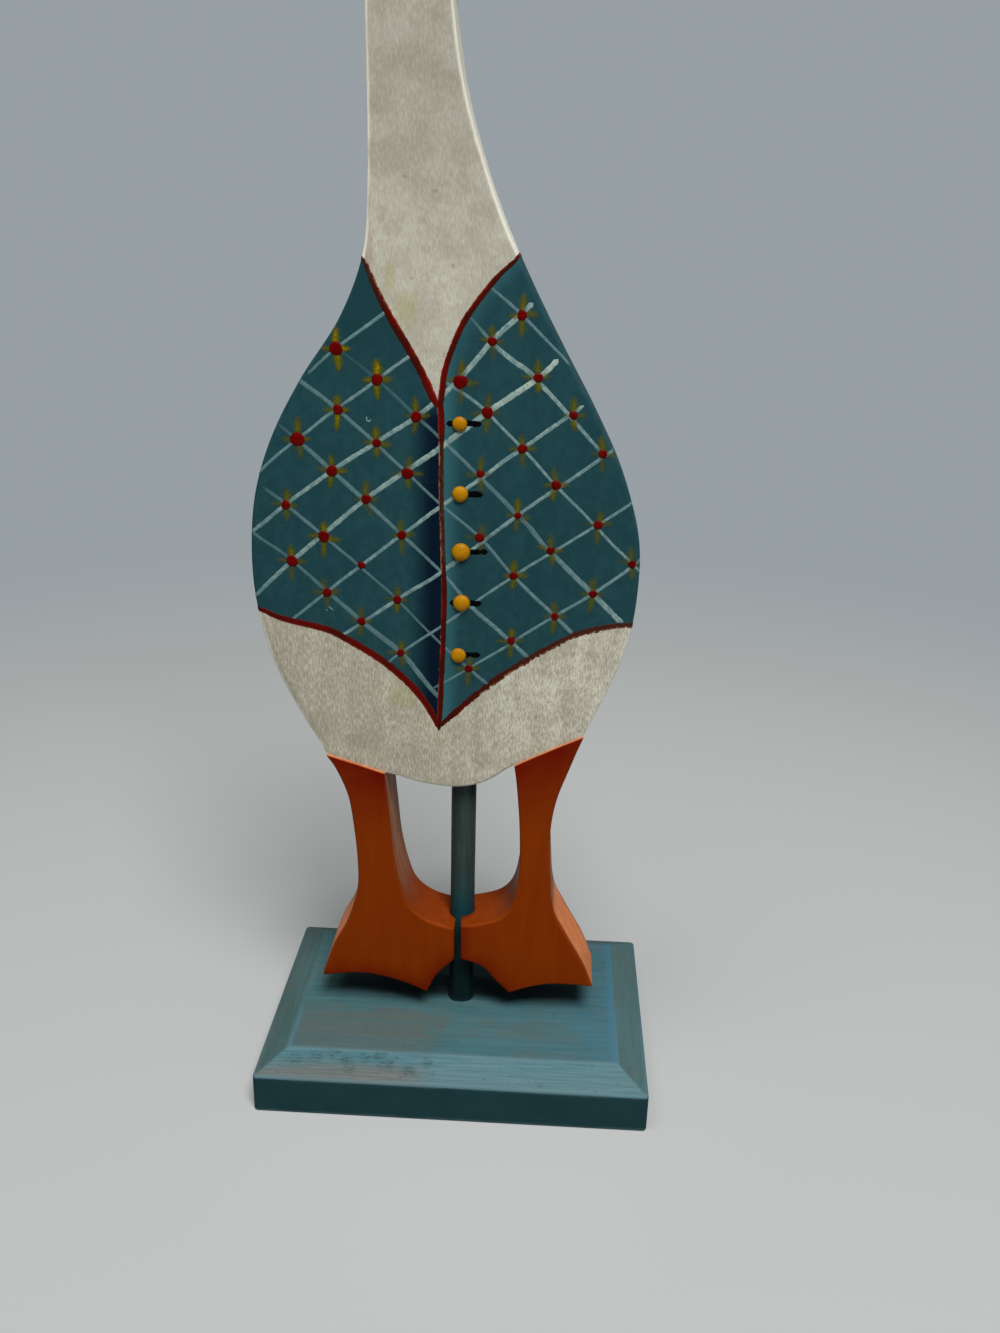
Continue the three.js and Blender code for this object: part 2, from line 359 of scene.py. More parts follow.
def make_group(name, takes, work):
    """Makes a shader node group from its named inputs with their usual values, and from a
    function that works out its named outputs."""
    group = bpy.data.node_groups.new(name, "ShaderNodeTree")
    for socket, value in takes.items():
        kind = "NodeSocketVector" if isinstance(value, tuple) else "NodeSocketFloat"
        group.interface.new_socket(socket, in_out="INPUT", socket_type=kind).default_value = value
    entering = group.nodes.new("NodeGroupInput").outputs
    results = work(*[Wire(entering[socket]) for socket in takes])
    for socket, wire in results.items():
        kind = "NodeSocketColor" if wire.socket.type == "RGBA" else "NodeSocketFloat"
        group.interface.new_socket(socket, in_out="OUTPUT", socket_type=kind)
    leaving = group.nodes.new("NodeGroupOutput").inputs
    for socket, wire in results.items():
        plug_in(wire, leaving[socket])
    return group


def place_group(group, inputs):
    """Places a node group in the material that its place is in, and gives its outputs."""
    made = add_node(inputs["Place"].tree, "Group", inputs, node_tree=group)
    return {socket.name: Wire(socket) for socket in made.outputs}


def noise_at(place, scale, detail=2.0, roughness=0.5):
    """Soft noise at a place, about scale lumps to the metre."""
    sockets = {"Vector": place, "Scale": scale, "Detail": detail, "Roughness": roughness}
    return from_node(place.tree, "TexNoise", sockets)


def streaks_inside(place, size):
    """Streaks drawn out in one direction: brush marks, or the fibres of wood."""
    stretched = on_vectors("DIVIDE", place, size)
    return {
        "Broad": fade(noise_at(stretched, 0.45, 2.0, 0.55), 0.3, 0.7),
        "Fine": fade(noise_at(stretched, 1.6, 3.0, 0.6), 0.32, 0.68),
        "Dashes": fade(noise_at(stretched, 3.1, 1.0, 0.4), 0.58, 0.72),
    }


def streaks_at(place, x, y, z):
    """Places the streaks, with their size along each axis in millimetres."""
    return place_group(drawn_streaks, {"Place": place, "Streak Size": (x * MM, y * MM, z * MM)})


def mottle_inside(place, cloud_size, fleck_size):
    """Soft clouds and small flecks, as uneven or rubbed paint has."""
    return {
        "Cloud": fade(noise_at(place, 1.0 / cloud_size, 4.0, 0.6), 0.33, 0.67),
        "Flecks": fade(noise_at(place, 1.0 / fleck_size, 1.0, 0.5), 0.66, 0.78),
    }


def mottle_at(place, cloud_size, fleck_size=1.0):
    """Places the clouds and flecks, with their sizes in millimetres."""
    sizes = {"Cloud Size": cloud_size * MM, "Fleck Size": fleck_size * MM}
    return place_group(paint_mottle, {"Place": place, **sizes})


def wear_inside(place, edge, amount, patch_size):
    """A ragged rub along the edges that a piece marks with 1."""
    patchy = noise_at(place, 1.0 / patch_size, 4.0, 0.65)
    return {"Rub": fade(edge * amount + (patchy - 0.5), 0.2, 0.75) * edge}


def wear_at(place, amount, patch_size):
    """Places the rub along the marked edges, with the size of its patches in millimetres."""
    settings = {"Edge": mark_on(place, "edge"), "Amount": amount, "Patch Size": patch_size * MM}
    return place_group(edge_wear, {"Place": place, **settings})["Rub"]


def spot_inside(place, middle, size, raggedness):
    """One soft round or drawn-out spot: a smudge, a scuff or a rubbed patch at a known place."""
    scaled = on_vectors("DIVIDE", on_vectors("SUBTRACT", place, middle), size)
    uneven = (noise_at(scaled, 1.7, 4.0, 0.7) - 0.5) * 3.0 * raggedness
    return {"Mask": fade(on_vectors("LENGTH", scaled, output="Value") + uneven, 1.15, 0.45)}


def spots_on(place, spots, size_scale=1.0, raggedness=0.4):
    """Several soft spots as one mask. Each is its middle and its half size, in millimetres."""
    masks = []
    for middle, size in spots:
        spot = {"Middle": tuple(v * MM for v in middle), "Size": tuple(v * MM * size_scale for v in size)}
        masks.append(place_group(soft_spot, {"Place": place, "Raggedness": raggedness, **spot})["Mask"])
    return highest(*masks)


def start_paint(name, gloss):
    """Starts a painted finish: its material, the sockets of its shader and the place on it."""
    material, tree, output = new_material(name)
    shader = add_node(tree, "BsdfPrincipled", {"Specular IOR Level": gloss})
    tree.links.new(shader.outputs[0], output)
    return material, shader.inputs, from_node(tree, "TexCoord", output="Object")


def mark_on(place, name):
    """Reads a mark that the mesh carries."""
    return from_node(place.tree, "Attribute", output="Fac", attribute_name=name)


def split(vector):
    """The three numbers of a vector."""
    return [Wire(part) for part in add_node(vector.tree, "SeparateXYZ", {0: vector}).outputs]


def facing_of(place):
    """The way that the surface faces, as three numbers."""
    return split(Wire(place.socket.node.outputs["Normal"]))


def coats(colour, layers):
    """Lays coats over a colour, one after another: the name of each, its share and its colour."""
    for name, share, over in layers:
        colour = mix(share, colour, over, name)
    return colour


def end_paint(material, shader, colour, marks, dull, relief, depth, height=None):
    """Ends a painted finish. Its brush marks take the roughness from the first to the second
    value of dull, and raise a relief of a strength and of a depth in millimetres."""
    plug_in(colour, shader["Base Color"])
    plug_in(fade(marks, 0.0, 1.0, *dull), shader["Roughness"])
    bump = {"Height": height or marks, "Strength": relief, "Distance": depth * MM}
    plug_in(from_node(marks.tree, "Bump", bump), shader["Normal"])
    return material


NOWHERE = (0, 0, 0)
drawn_streaks = make_group(
    "drawn_streaks", {"Place": NOWHERE, "Streak Size": (0.001, 0.001, 0.02)}, streaks_inside,
)
paint_mottle = make_group(
    "paint_mottle", {"Place": NOWHERE, "Cloud Size": 0.02, "Fleck Size": 0.001}, mottle_inside,
)
edge_wear = make_group(
    "edge_wear", {"Place": NOWHERE, "Edge": 0.0, "Amount": 0.5, "Patch Size": 0.008}, wear_inside,
)
soft_spot = make_group(
    "soft_spot", {"Place": NOWHERE, "Middle": NOWHERE, "Size": (0.005, 0.005, 0.005), "Raggedness": 0.4},
    spot_inside,
)


def plaque_finish():
    """Blue-green paint brushed along each face: dark on the wall, paler on the bevel and the top as
    painted light from above, and there handled to brown and scratched, with a painted shadow under
    the feet."""
    material, shader, place = start_paint("plaque_blue_green", gloss=0.05)
    x, y, z = split(place)
    facing_x, facing_y, _ = facing_of(place)
    turned = from_node(place.tree, "CombineXYZ", {0: y, 1: x, 2: z})
    end_grain = fade(reckon("ABSOLUTE", facing_x), 0.22, 0.30)
    brushed = from_node(place.tree, "Mix", {0: end_grain, 4: place, 5: turned}, 1, data_type="VECTOR")
    brush = streaks_at(brushed, 24, 1.1, 1.1)
    along = streaks_at(brushed, 50, 3.4, 3.4)
    scratch = streaks_at(brushed, 30, 1.2, 1.2)
    dashed = streaks_at(brushed, 4.8, 0.7, 0.9)
    small = mottle_at(place, 9, 2.0)
    bevel = mark_on(place, "bevel")
    upper = fade(bevel, 0.02, 0.4)
    slope = fade(bevel, 0.6, 0.95)
    flat_top = 1.0 - slope
    before = slope * fade(facing_y, -0.2, -0.35)

    # painted light: the wall is painted darker and the top paler, standing in for more light from above
    wall = mix(small["Cloud"], (0.0085, 0.0318, 0.0372), (0.0100, 0.0358, 0.0400))
    top = mix(mottle_at(place, 50)["Cloud"], (0.035, 0.092, 0.097), (0.039, 0.111, 0.129))
    side_bevels = mix(fade(x, -0.02, 0.02), (0.045, 0.089, 0.083), (0.052, 0.106, 0.109))
    front_bevel = mix(fade(x, -0.030, 0.005), (0.052, 0.128, 0.150), (0.070, 0.150, 0.166))
    bluer_right = fade(x, 0.040, 0.060) * fade(along["Broad"], 0.1, 0.8)
    top = coats(top, [
        ("bluer on the right", bluer_right * 0.7, (0.036, 0.126, 0.180)),
        ("side bevels", slope, side_bevels),
        ("front bevel", before, front_bevel),
        ("dark brush marks", brush["Fine"] * 0.22, (0.034, 0.080, 0.088)),
        ("pale brush marks", along["Fine"] * 0.28, (0.076, 0.150, 0.165)),
    ])

    # where hands have rubbed the left of the top, from its middle to the front
    ragged = fade(small["Cloud"], 0.0, 1.0, -0.004, 0.004)
    handled = fade((x - y * 0.28) + ragged, 0.004, -0.006) * fade(y + ragged * 0.5, -0.010, -0.017, 0.0, 0.72)
    handled = handled * fade(along["Broad"], 0.1, 0.6, 0.65, 1.0) * fade(slope, 0.0, 0.5, 1.0, 0.0)
    rubbed = small["Cloud"] * (1.0 - before) * fade(along["Broad"], 0.35, 0.75, 0.10, 0.45)
    # lines of thicker paint where the top meets the left and the right bevel
    left_line = fade(x, -0.0612, -0.0628) * fade(y, -0.012, -0.020) * flat_top
    right_line = fade(x, 0.0600, 0.0618) * flat_top
    # low on the front bevel the paint is worn to brown, mostly on the left
    brown = fade(along["Broad"], 0.05, 0.40, 0.45, 1.0) * fade(z, 0.0202, 0.0180) * before
    brown = brown * fade(x, -0.004, -0.018, 0.15, 1.0) * fade(scratch["Fine"], 0.1, 0.8, 0.72, 0.92)
    soot = scratch["Dashes"] * slope * fade(z, 0.0172, 0.0195, 0.08, 0.30) * fade(small["Cloud"], 0.45, 0.85)
    scuffs = [((mid_x, mid_y, 19.5), (length, 1.9, 4)) for mid_x, mid_y, length in BEVEL_SCUFFS]
    # painted shadow: the top is darkened under the feet, where their shade falls
    painted_shade = spots_on(place, UNDER_FEET_PAINTED_SHADOW, raggedness=0.15)
    scuffs = spots_on(place, scuffs, size_scale=1.3, raggedness=0.35)
    scuffs = scuffs * fade(dashed["Fine"], 0.50, 0.85, 0.16, 0.88) * slope
    colour = coats(mix(upper, wall, top), [
        ("rubbed", highest(rubbed, handled) * upper, (0.080, 0.086, 0.075)),
        ("thick lines", highest(left_line, right_line) * upper * 0.6, (0.040, 0.132, 0.190)),
        ("worn to brown", brown, (0.108, 0.102, 0.091)),
        ("pale scratches", fade(scratch["Fine"], 0.50, 0.95, 0.0, 0.38) * before, (0.105, 0.178, 0.195)),
        ("dark scratches", fade(scratch["Fine"], 0.50, 0.05, 0.0, 0.28) * before, (0.042, 0.088, 0.098)),
        ("soot and scuffs", highest(soot, scuffs), (0.026, 0.054, 0.058)),
        ("specks", small["Flecks"] * upper * 0.35, (0.022, 0.045, 0.048)),
        ("rubbed edges", wear_at(place, 0.8, 12) * fade(y, 0.0, -0.04, 0.10, 0.45), (0.095, 0.160, 0.178)),
        # painted shadow under the feet
        ("painted_shade", painted_shade * 0.92, (0.004, 0.009, 0.008)),
    ])
    height = (brush["Fine"] + along["Fine"]) * upper
    return end_paint(
        material, shader, colour, brush["Fine"], dull=(0.62, 0.76), relief=0.30, depth=0.10, height=height,
    )


def make_plaque():
    """Makes the plaque from its underside up: eased foot, wall, bevel and top."""
    rise = PLAQUE_HEIGHT - PLAQUE_WALL_TOP
    # how far in, how high, corner radius, edge mark, bevel mark
    levels = [
        (20, 0, 0.6, 0, 0), (2.2, 0, 1.2, 0.2, 0), (0.8, 0, 1.3, 0.8, 0), (0.24, 0.24, 1.5, 1, 0),
        (0, 0.8, PLAQUE_CORNER, 0.8, 0), (0, 2.2, PLAQUE_CORNER, 0.15, 0), (0, 8, PLAQUE_CORNER, 0, 0),
        (0, PLAQUE_WALL_TOP - 2, PLAQUE_CORNER, 0.05, 0),
        (0, PLAQUE_WALL_TOP - 0.8, PLAQUE_CORNER, 0.6, 0.0),
        (0.08, PLAQUE_WALL_TOP - 0.3, 1.55, 1, 0.2), (0.35, PLAQUE_WALL_TOP + 0.05, 1.5, 1, 0.6),
        (0.8, PLAQUE_WALL_TOP + 0.36, 1.4, 0.9, 1),
    ]
    for share in (0.2, 0.5, 0.8):
        levels.append((PLAQUE_BEVEL_RUN * share, PLAQUE_WALL_TOP + rise * share, 1.4 - 0.6 * share, 0.1, 1))
    levels += [
        (PLAQUE_BEVEL_RUN * 0.93, PLAQUE_WALL_TOP + rise * 0.93, 0.8, 0.5, 1),
        (PLAQUE_BEVEL_RUN * 0.985, PLAQUE_WALL_TOP + rise * 0.975, 0.8, 0.9, 0.9),
        (PLAQUE_BEVEL_RUN + 0.45, PLAQUE_HEIGHT, 0.7, 0.8, 0.6),
        (PLAQUE_BEVEL_RUN + 1.6, PLAQUE_HEIGHT, 0.6, 0.3, 0.45),
        (PLAQUE_BEVEL_RUN + 4, PLAQUE_HEIGHT, 0.5, 0.0, 0.4),
        (PLAQUE_BEVEL_RUN + 14, PLAQUE_HEIGHT, 0.3, 0.0, 0.4),
    ]
    rings = [plaque_ring(*level[:3]) for level in levels]
    points, faces = skin(rings)
    marks = {
        "edge": np.repeat([level[3] for level in levels], len(rings[0])),
        "bevel": np.repeat([level[4] for level in levels], len(rings[0])),
    }
    piece = make_piece("plaque_block", points, faces, plaque_finish(), marks)
    drill(piece, PLAQUE_HEIGHT - PLAQUE_SOCKET_DEPTH, PLAQUE_HEIGHT + 5)
    for vertex in piece.data.vertices:
        # the drilled rim is marked as the flat top is
        if math.dist(vertex.co[:2], Vector(ROD_AXIS) * MM) < (ROD_RADIUS + 1) * MM:
            for mark, value in (("edge", levels[-1][3]), ("bevel", levels[-1][4])):
                piece.data.attributes[mark].data[vertex.index].value = value
    keep_flats_flat(piece)
    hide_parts("base_plaque")


make_plaque()

# Support rod
# A length of hardwood dowel, painted dark grey-green. It is glued into the plaque's socket,
# passes between the feet and is glued into the body.
ROD_BOTTOM = 5.7
ROD_TOP = 160.0
ROD_SIDES = 48
ROD_CHAMFER = 0.8
# how far the painted bead of glue at the rod's foot stands out, and how high up
GLUE_BEAD = [(0.6, 0.02), (0.42, 0.2), (0.2, 0.6), (0.06, 1.2), (0.0, 1.8)]


def rod_finish():
    """Dark grey-green paint with faint upright fibres and a few rubbed streaks, and painted shade
    darkening it at the foot.
    """
    material, shader, place = start_paint("rod_grey_green", gloss=0.12)
    z = split(place)[2]
    fibre = streaks_at(place, 1.2, 1.2, 25)
    cloud = mottle_at(place, 20)["Cloud"]
    uneven_height = z + fade(cloud, 0.0, 1.0, -0.002, 0.002)
    colour = coats(mix(fibre["Broad"], (0.017, 0.029, 0.027), (0.025, 0.039, 0.036)), [
        ("rubbed streaks", fibre["Dashes"] * cloud * 0.6, (0.055, 0.080, 0.078)),
        ("bluer low down", fade(z, 0.088, 0.062), (0.0035, 0.036, 0.042)),
        # painted shade: the rod is darkened towards its foot, between the feet, where their shade falls
        ("grime at the foot", fade(uneven_height, 0.060, 0.038) * 0.85, (0.003, 0.007, 0.006)),
    ])
    return end_paint(material, shader, colour, fibre["Fine"], dull=(0.38, 0.52), relief=0.3, depth=0.08)


def make_rod():
    """Turns the rod, with a small chamfer at either end and a bead of glue where it meets the plaque."""
    turn = np.linspace(0, 2 * math.pi, ROD_SIDES, endpoint=False)
    rings = []
    levels = [
        (ROD_RADIUS - ROD_CHAMFER, ROD_BOTTOM), (ROD_RADIUS, ROD_BOTTOM + ROD_CHAMFER),
        (ROD_RADIUS, PLAQUE_HEIGHT - 0.3),
    ]
    levels += [(ROD_RADIUS + out, PLAQUE_HEIGHT + up) for out, up in GLUE_BEAD]
    levels += [(ROD_RADIUS, height) for height in np.linspace(PLAQUE_HEIGHT + 3, ROD_TOP - 4, 20)]
    levels += [(ROD_RADIUS, ROD_TOP - ROD_CHAMFER), (ROD_RADIUS - ROD_CHAMFER, ROD_TOP)]
    uneven = 1 + 0.3 * np.sin(2 * turn + 1) + 0.2 * np.sin(5 * turn)
    for radius, height in levels:
        radius = ROD_RADIUS + (radius - ROD_RADIUS) * uneven if radius > ROD_RADIUS else radius
        x = ROD_AXIS[0] + radius * np.cos(turn)
        y = ROD_AXIS[1] + radius * np.sin(turn)
        rings.append(np.column_stack([x, y, np.full(ROD_SIDES, height)]))
    points, faces = skin(rings)
    piece = make_piece("dowel", points, faces, rod_finish())
    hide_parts("support_rod")


make_rod()

# Body board
# One flat sawn board makes body, neck and head. Its edges are sanded round, and it is painted
# antique cream, with the vest and the beak painted on both faces and across the sawn edge.
TOE_LEVEL = 30.6
BOARD_THICKNESS = 20.5
BOARD_EASING = 1.3
BOARD_DRILLED_FROM = 100
ROD_END_GAP = 0.3
BOARD_STEP = 1.7
# the edge mark where a board's face begins, how far inward it fades, and the mark below which a
# wall counts as sawn
FACE_EDGE_MARK = 0.3
EDGE_MARK_REACH = 1.2
SAWN_MARK = 0.25
FACE_STEP = 3.2
SMOOTH_STEPS = 12
FLANK_LEFT = [
    (-32.4, 349.4), (-32.2, 319.4), (-32.5, 299.4), (-34.3, 279.4), (-42.4, 259.4), (-56, 239.4),
    (-66.8, 219.4), (-73.3, 199.4), (-75.4, 178), (-74.2, 159.4), (-69.4, 139.4), (-60.2, 119.4),
    (-50.6, 102.9),
]
BELLY = [
    (-50.6, 102.9), (-39.5, 99.6), (-29, 96.3), (-15, 92.3), (-3, 91.2), (5.6, 92.7), (12, 96),
    (19.4, 101.6), (32, 108.3), (44.3, 114.4),
]
FLANK_RIGHT = [
    (44.3, 114.4), (51, 129.4), (58, 149.4), (60.6, 169.4), (59.8, 189.4), (53.7, 209.4),
    (43.8, 229.4), (32.3, 249.4), (21.2, 269.4), (11.3, 289.4), (3.5, 309.4), (-2.3, 329.4),
    (-5.5, 349.4), (-6.4, 361), (-4.6, 370.5), (0, 377.6), (5, 381.2),
]
# between which of the belly's points each leg is glued on
HIP_SEATS = [(0, 2), (7, 9)]
BEAK_UNDER = [(5, 381.2), (17, 379.6), (30, 376.6)]
BEAK_TIP = [(30, 376.6), (33.4, 377.4), (34.6, 380), (33, 383)]
BEAK_RIDGE = [(33, 383), (24, 387.6), (14, 393), (6.5, 400.4)]
CROWN = [
    (6.5, 400.4), (2.8, 409), (-5, 416), (-15.5, 419.2), (-26.5, 416.6), (-34.8, 408.8),
    (-38.4, 397), (-37.6, 383.5), (-34.4, 370.5), (-32.7, 360), (-32.4, 349.4),
]
# Where the paints meet: the vest's neckline and hem on the front, the same on the back, and
# the root of the beak
LEFT_COLLAR = [
    (-34, 309), (-30, 299.4), (-25, 290), (-20, 281.9), (-15, 273.1), (-11.9, 266.3), (-9.4, 262),
]
RIGHT_COLLAR = [
    (-9.4, 262), (-8.4, 267), (-7.6, 273.7), (-5.4, 280.9), (-1.7, 289.4), (3.3, 296.8),
    (9.5, 304.3), (16, 310),
]
LEFT_HEM = [
    (-73.1, 189.8), (-66.3, 186.5), (-49.9, 182.8), (-42.2, 179.2), (-29.6, 171.7), (-19.6, 162.9),
    (-13.5, 155.2), (-8.8, 146.4),
]
RIGHT_HEM = [
    (-8.8, 146.4), (-2.3, 152.9), (5.3, 160.3), (14.1, 167.7), (22.8, 174), (32.7, 180.2),
    (40.2, 184.5), (50.1, 187.4), (58.8, 188.8),
]
BACK_COLLAR = [(-34, 309), (-22, 302.5), (-9, 300.5), (4, 303.5), (16, 310)]
BACK_HEM = [(-73.1, 189.8), (-50, 183), (-22, 179), (0, 178.6), (28, 181.5), (58.8, 188.8)]
BEAK_ROOT = [(5, 411.8), (8.2, 418), (8.9, 424), (6.5, 431)]


def smooth(points):
    """A smooth line through points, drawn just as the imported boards' outlines are."""
    line = np.array(points, float)
    padded = np.vstack([line[:1], line, line[-1:]])
    share = np.arange(SMOOTH_STEPS)[:, None] / SMOOTH_STEPS
    parts = []
    for a, b, c, d in zip(padded, padded[1:], padded[2:], padded[3:]):
        leave, arrive = (c - a) / 2, (d - b) / 2
        cubic = 2 * b - 2 * c + leave + arrive
        square = 3 * c - 3 * b - 2 * leave - arrive
        parts.append(cubic * share**3 + square * share**2 + leave * share + b)
    return np.vstack(parts + [line[-1:]])


def evenly(line, step):
    """The same line, with its points a step apart. Values given with the points follow along."""
    along = np.concatenate([[0], np.cumsum(np.hypot(*np.diff(line[:, :2], axis=0).T))])
    count = max(2, round(along[-1] / step))
    at = np.linspace(0, along[-1], count + 1)
    return np.column_stack([np.interp(at, along, values) for values in line.T])


def outward_at(outline):
    """The outward direction at each point of an outline, longer at a corner, as a mitre is."""
    before = outline - np.roll(outline, 1, axis=0)
    after = np.roll(outline, -1, axis=0) - outline
    turned = []
    for edge in (before, after):
        edge = edge / np.linalg.norm(edge, axis=1)[:, None]
        turned.append(np.column_stack([edge[:, 1], -edge[:, 0]]))
    x, z = outline.T
    area = np.sum(x * np.roll(z, -1) - np.roll(x, -1) * z)
    both = (turned[0] + turned[1]) * np.sign(area)
    straight = 1 + np.sum(turned[0] * turned[1], axis=1)
    return both / straight[:, None]


def inside(points, outline):
    """Which of the points lie inside an outline."""
    x, z = points[:, 0, None], points[:, 1, None]
    x0, z0 = outline.T
    x1, z1 = np.roll(outline, -1, axis=0).T
    crosses = (z0 > z) != (z1 > z)
    at = x0 + (z - z0) * (x1 - x0) / np.where(z1 == z0, 1, z1 - z0)
    return np.sum(crosses & (x < at), axis=1) % 2 == 1


def nearest_on(points, line, closed=True):
    """For each point: its distance to a line, the nearest place on it, and which step that is."""
    start = line if closed else line[:-1]
    end = np.roll(line, -1, axis=0) if closed else line[1:]
    step = end - start
    offset = points[:, None] - start
    share = np.sum(offset * step, axis=2) / np.maximum(np.sum(step * step, axis=1), 1e-12)
    share = np.clip(share, 0, 1)
    gaps = np.linalg.norm(offset - share[..., None] * step, axis=2)
    which = np.argmin(gaps, axis=1)
    rows = np.arange(len(points))
    return gaps[rows, which], start[which] + share[rows, which][:, None] * step[which], which


def ease_edges(outline, usual, joint, at_joint):
    """The easing radius at each point of an outline: nearly none along a glued joint."""
    share = np.clip((nearest_on(outline, joint, False)[0] - 0.3) / 4, 0, 1)
    return at_joint + (usual - at_joint) * share


def fill_face(ring, lines):
    """Fills a board's face with small triangles that follow the lines painted on it."""
    low, high = ring.min(axis=0), ring.max(axis=0)
    grid = []
    for row, height in enumerate(np.arange(low[1], high[1], FACE_STEP * 0.87)):
        shift = FACE_STEP / 2 if row % 2 else 0
        grid += [(x, height) for x in np.arange(low[0] + shift, high[0], FACE_STEP)]
    grid = np.array(grid)
    clear = inside(grid, ring) & (nearest_on(grid, ring)[0] > FACE_STEP * 0.5)
    for line in lines:
        clear &= nearest_on(grid, line, False)[0] > FACE_STEP * 0.4
    points = list(map(tuple, ring)) + list(map(tuple, grid[clear]))
    edges = [(i, (i + 1) % len(ring)) for i in range(len(ring))]
    for line in lines:
        ends = [int(np.argmin(np.linalg.norm(ring - end, axis=1))) for end in (line[0], line[-1])]
        chain = [ends[0]] + list(range(len(points), len(points) + len(line) - 2)) + [ends[1]]
        points += list(map(tuple, line[1:-1]))
        edges += list(zip(chain, chain[1:]))
    made = delaunay_2d_cdt([Vector(p) for p in points], edges, [list(range(len(ring)))], 1, 1e-5)
    return np.array([tuple(v) for v in made[0]]), [list(f) for f in made[2]], made[3]


def saw_board(name, outline, thickness, easing, lines, back_lines, material):
    """Saws a board to an outline, eases its edges and marks them, ready for its paints."""
    outward = outward_at(outline)
    half = thickness / 2
    bend = np.radians([0, 22.5, 45, 67.5, 90])
    levels = [
        (easing * (1 - math.sin(b)), easing * (1 - math.cos(b)),
         FACE_EDGE_MARK + (1 - FACE_EDGE_MARK) * math.sin(b))
        for b in bend
    ]
    levels += [(0, easing + 1.5, 0.2), (0, half, 0)]
    count = len(outline)
    rims = [outline - outward * np.broadcast_to(inset, count)[:, None] for inset, _, _ in levels]
    points, marks, sides, faces = [], [], [], []
    depths = [level[1] for level in levels]
    rows = list(zip(rims, depths, [level[2] for level in levels]))
    rows += [(rim, thickness - depth, mark) for rim, depth, mark in rows[-2::-1]]
    for rim, depth, mark in rows:
        y = ROD_AXIS[1] - half + depth + np.zeros(count)
        points.append(np.column_stack([rim[:, 0] + ROD_AXIS[0], y, rim[:, 1]]))
        marks += list(np.minimum(mark, easing / np.max(easing)))
        sides += [1.0 if mark < SAWN_MARK else 0.0] * count
    faces += walls_between(len(rows), count)
    for first, y, drawn in ((0, -half, lines), ((len(rows) - 1) * count, half, back_lines)):
        flat, triangles, came_from = fill_face(rims[0], drawn)
        total = sum(len(p) for p in points)
        number, extra = {}, []
        for index, sources in enumerate(came_from):
            on_rim = [source for source in sources if source < count]
            if on_rim:
                number[index] = first + on_rim[0]
            else:
                number[index] = total + len(extra)
                extra.append(index)
        inner = flat[extra]
        level = np.full(len(inner), ROD_AXIS[1] + y)
        points.append(np.column_stack([inner[:, 0] + ROD_AXIS[0], level, inner[:, 1]]))
        marks += list(FACE_EDGE_MARK * np.exp(-nearest_on(inner, rims[0])[0] / EDGE_MARK_REACH))
        sides += [0.0] * len(inner)
        faces += [tuple(number[v] for v in triangle) for triangle in triangles]
    return make_piece(name, np.vstack(points), faces, material, {"edge": marks, "side": sides})


def lifted(points):
    """Pattern heights from the lowest toe, made heights from the plaque's underside."""
    return np.array(points, float) + (0, TOE_LEVEL)


def end_on(line, outline):
    """Ends a painted line on the nearest points of an outline, with no point of it outside."""
    ends = [outline[np.argmin(np.linalg.norm(outline - end, axis=1))] for end in (line[0], line[-1])]
    between = line[1:-1]
    between = between[inside(between, outline) & (nearest_on(between, outline)[0] > 0.2)]
    return np.vstack([ends[0], between, ends[1]])


def under_belly(first, last):
    """The stretch of the belly between two of its points."""
    return smooth(lifted(BELLY))[first * SMOOTH_STEPS:last * SMOOTH_STEPS + 1]


goose_stretches = [FLANK_LEFT, BELLY, FLANK_RIGHT, BEAK_UNDER, BEAK_TIP, BEAK_RIDGE, CROWN]
goose_outline = np.vstack([evenly(smooth(lifted(s)), BOARD_STEP)[:-1] for s in goose_stretches])
goose_outward = outward_at(goose_outline)
goose_easing = np.full(len(goose_outline), BOARD_EASING)
for seat_points in HIP_SEATS:
    at_seat = ease_edges(goose_outline, BOARD_EASING, under_belly(*seat_points), 0.03)
    goose_easing = np.minimum(goose_easing, at_seat)
goose_rim = goose_outline - goose_outward * goose_easing[:, None]
painted_lines = {}
for line_name, parts in (
    ("neckline", [LEFT_COLLAR, RIGHT_COLLAR]), ("hem", [LEFT_HEM, RIGHT_HEM]),
    ("back_neckline", [BACK_COLLAR]), ("back_hem", [BACK_HEM]), ("beak_root", [BEAK_ROOT]),
):
    drawn = [evenly(smooth(part), 1.8) for part in parts]
    drawn = np.vstack([drawn[0]] + [part[1:] for part in drawn[1:]])
    painted_lines[line_name] = end_on(drawn, goose_rim)


def rim_number(place):
    """The number of the outline's point nearest a place."""
    return int(np.argmin(np.linalg.norm(goose_rim - place, axis=1)))


def patch_between(upper, lower):
    """The outline of the painted patch between two lines that cross the board."""
    left = [rim_number(upper[0]), rim_number(lower[0])]
    right = [rim_number(lower[-1]), rim_number(upper[-1])]
    down = [k % len(goose_rim) for k in range(left[0], left[1] + 1)]
    up = [k % len(goose_rim) for k in range(right[0], right[1] + 1)]
    return np.vstack([goose_rim[down], lower[1:-1], goose_rim[up], upper[::-1][1:-1]])


vest_front = patch_between(painted_lines["neckline"], painted_lines["hem"])
vest_back = patch_between(painted_lines["back_neckline"], painted_lines["back_hem"])
beak_first, beak_last = rim_number(BEAK_ROOT[0]), rim_number(BEAK_ROOT[-1])
beak_patch = np.vstack([goose_rim[beak_first:beak_last + 1], painted_lines["beak_root"][::-1][1:-1]])


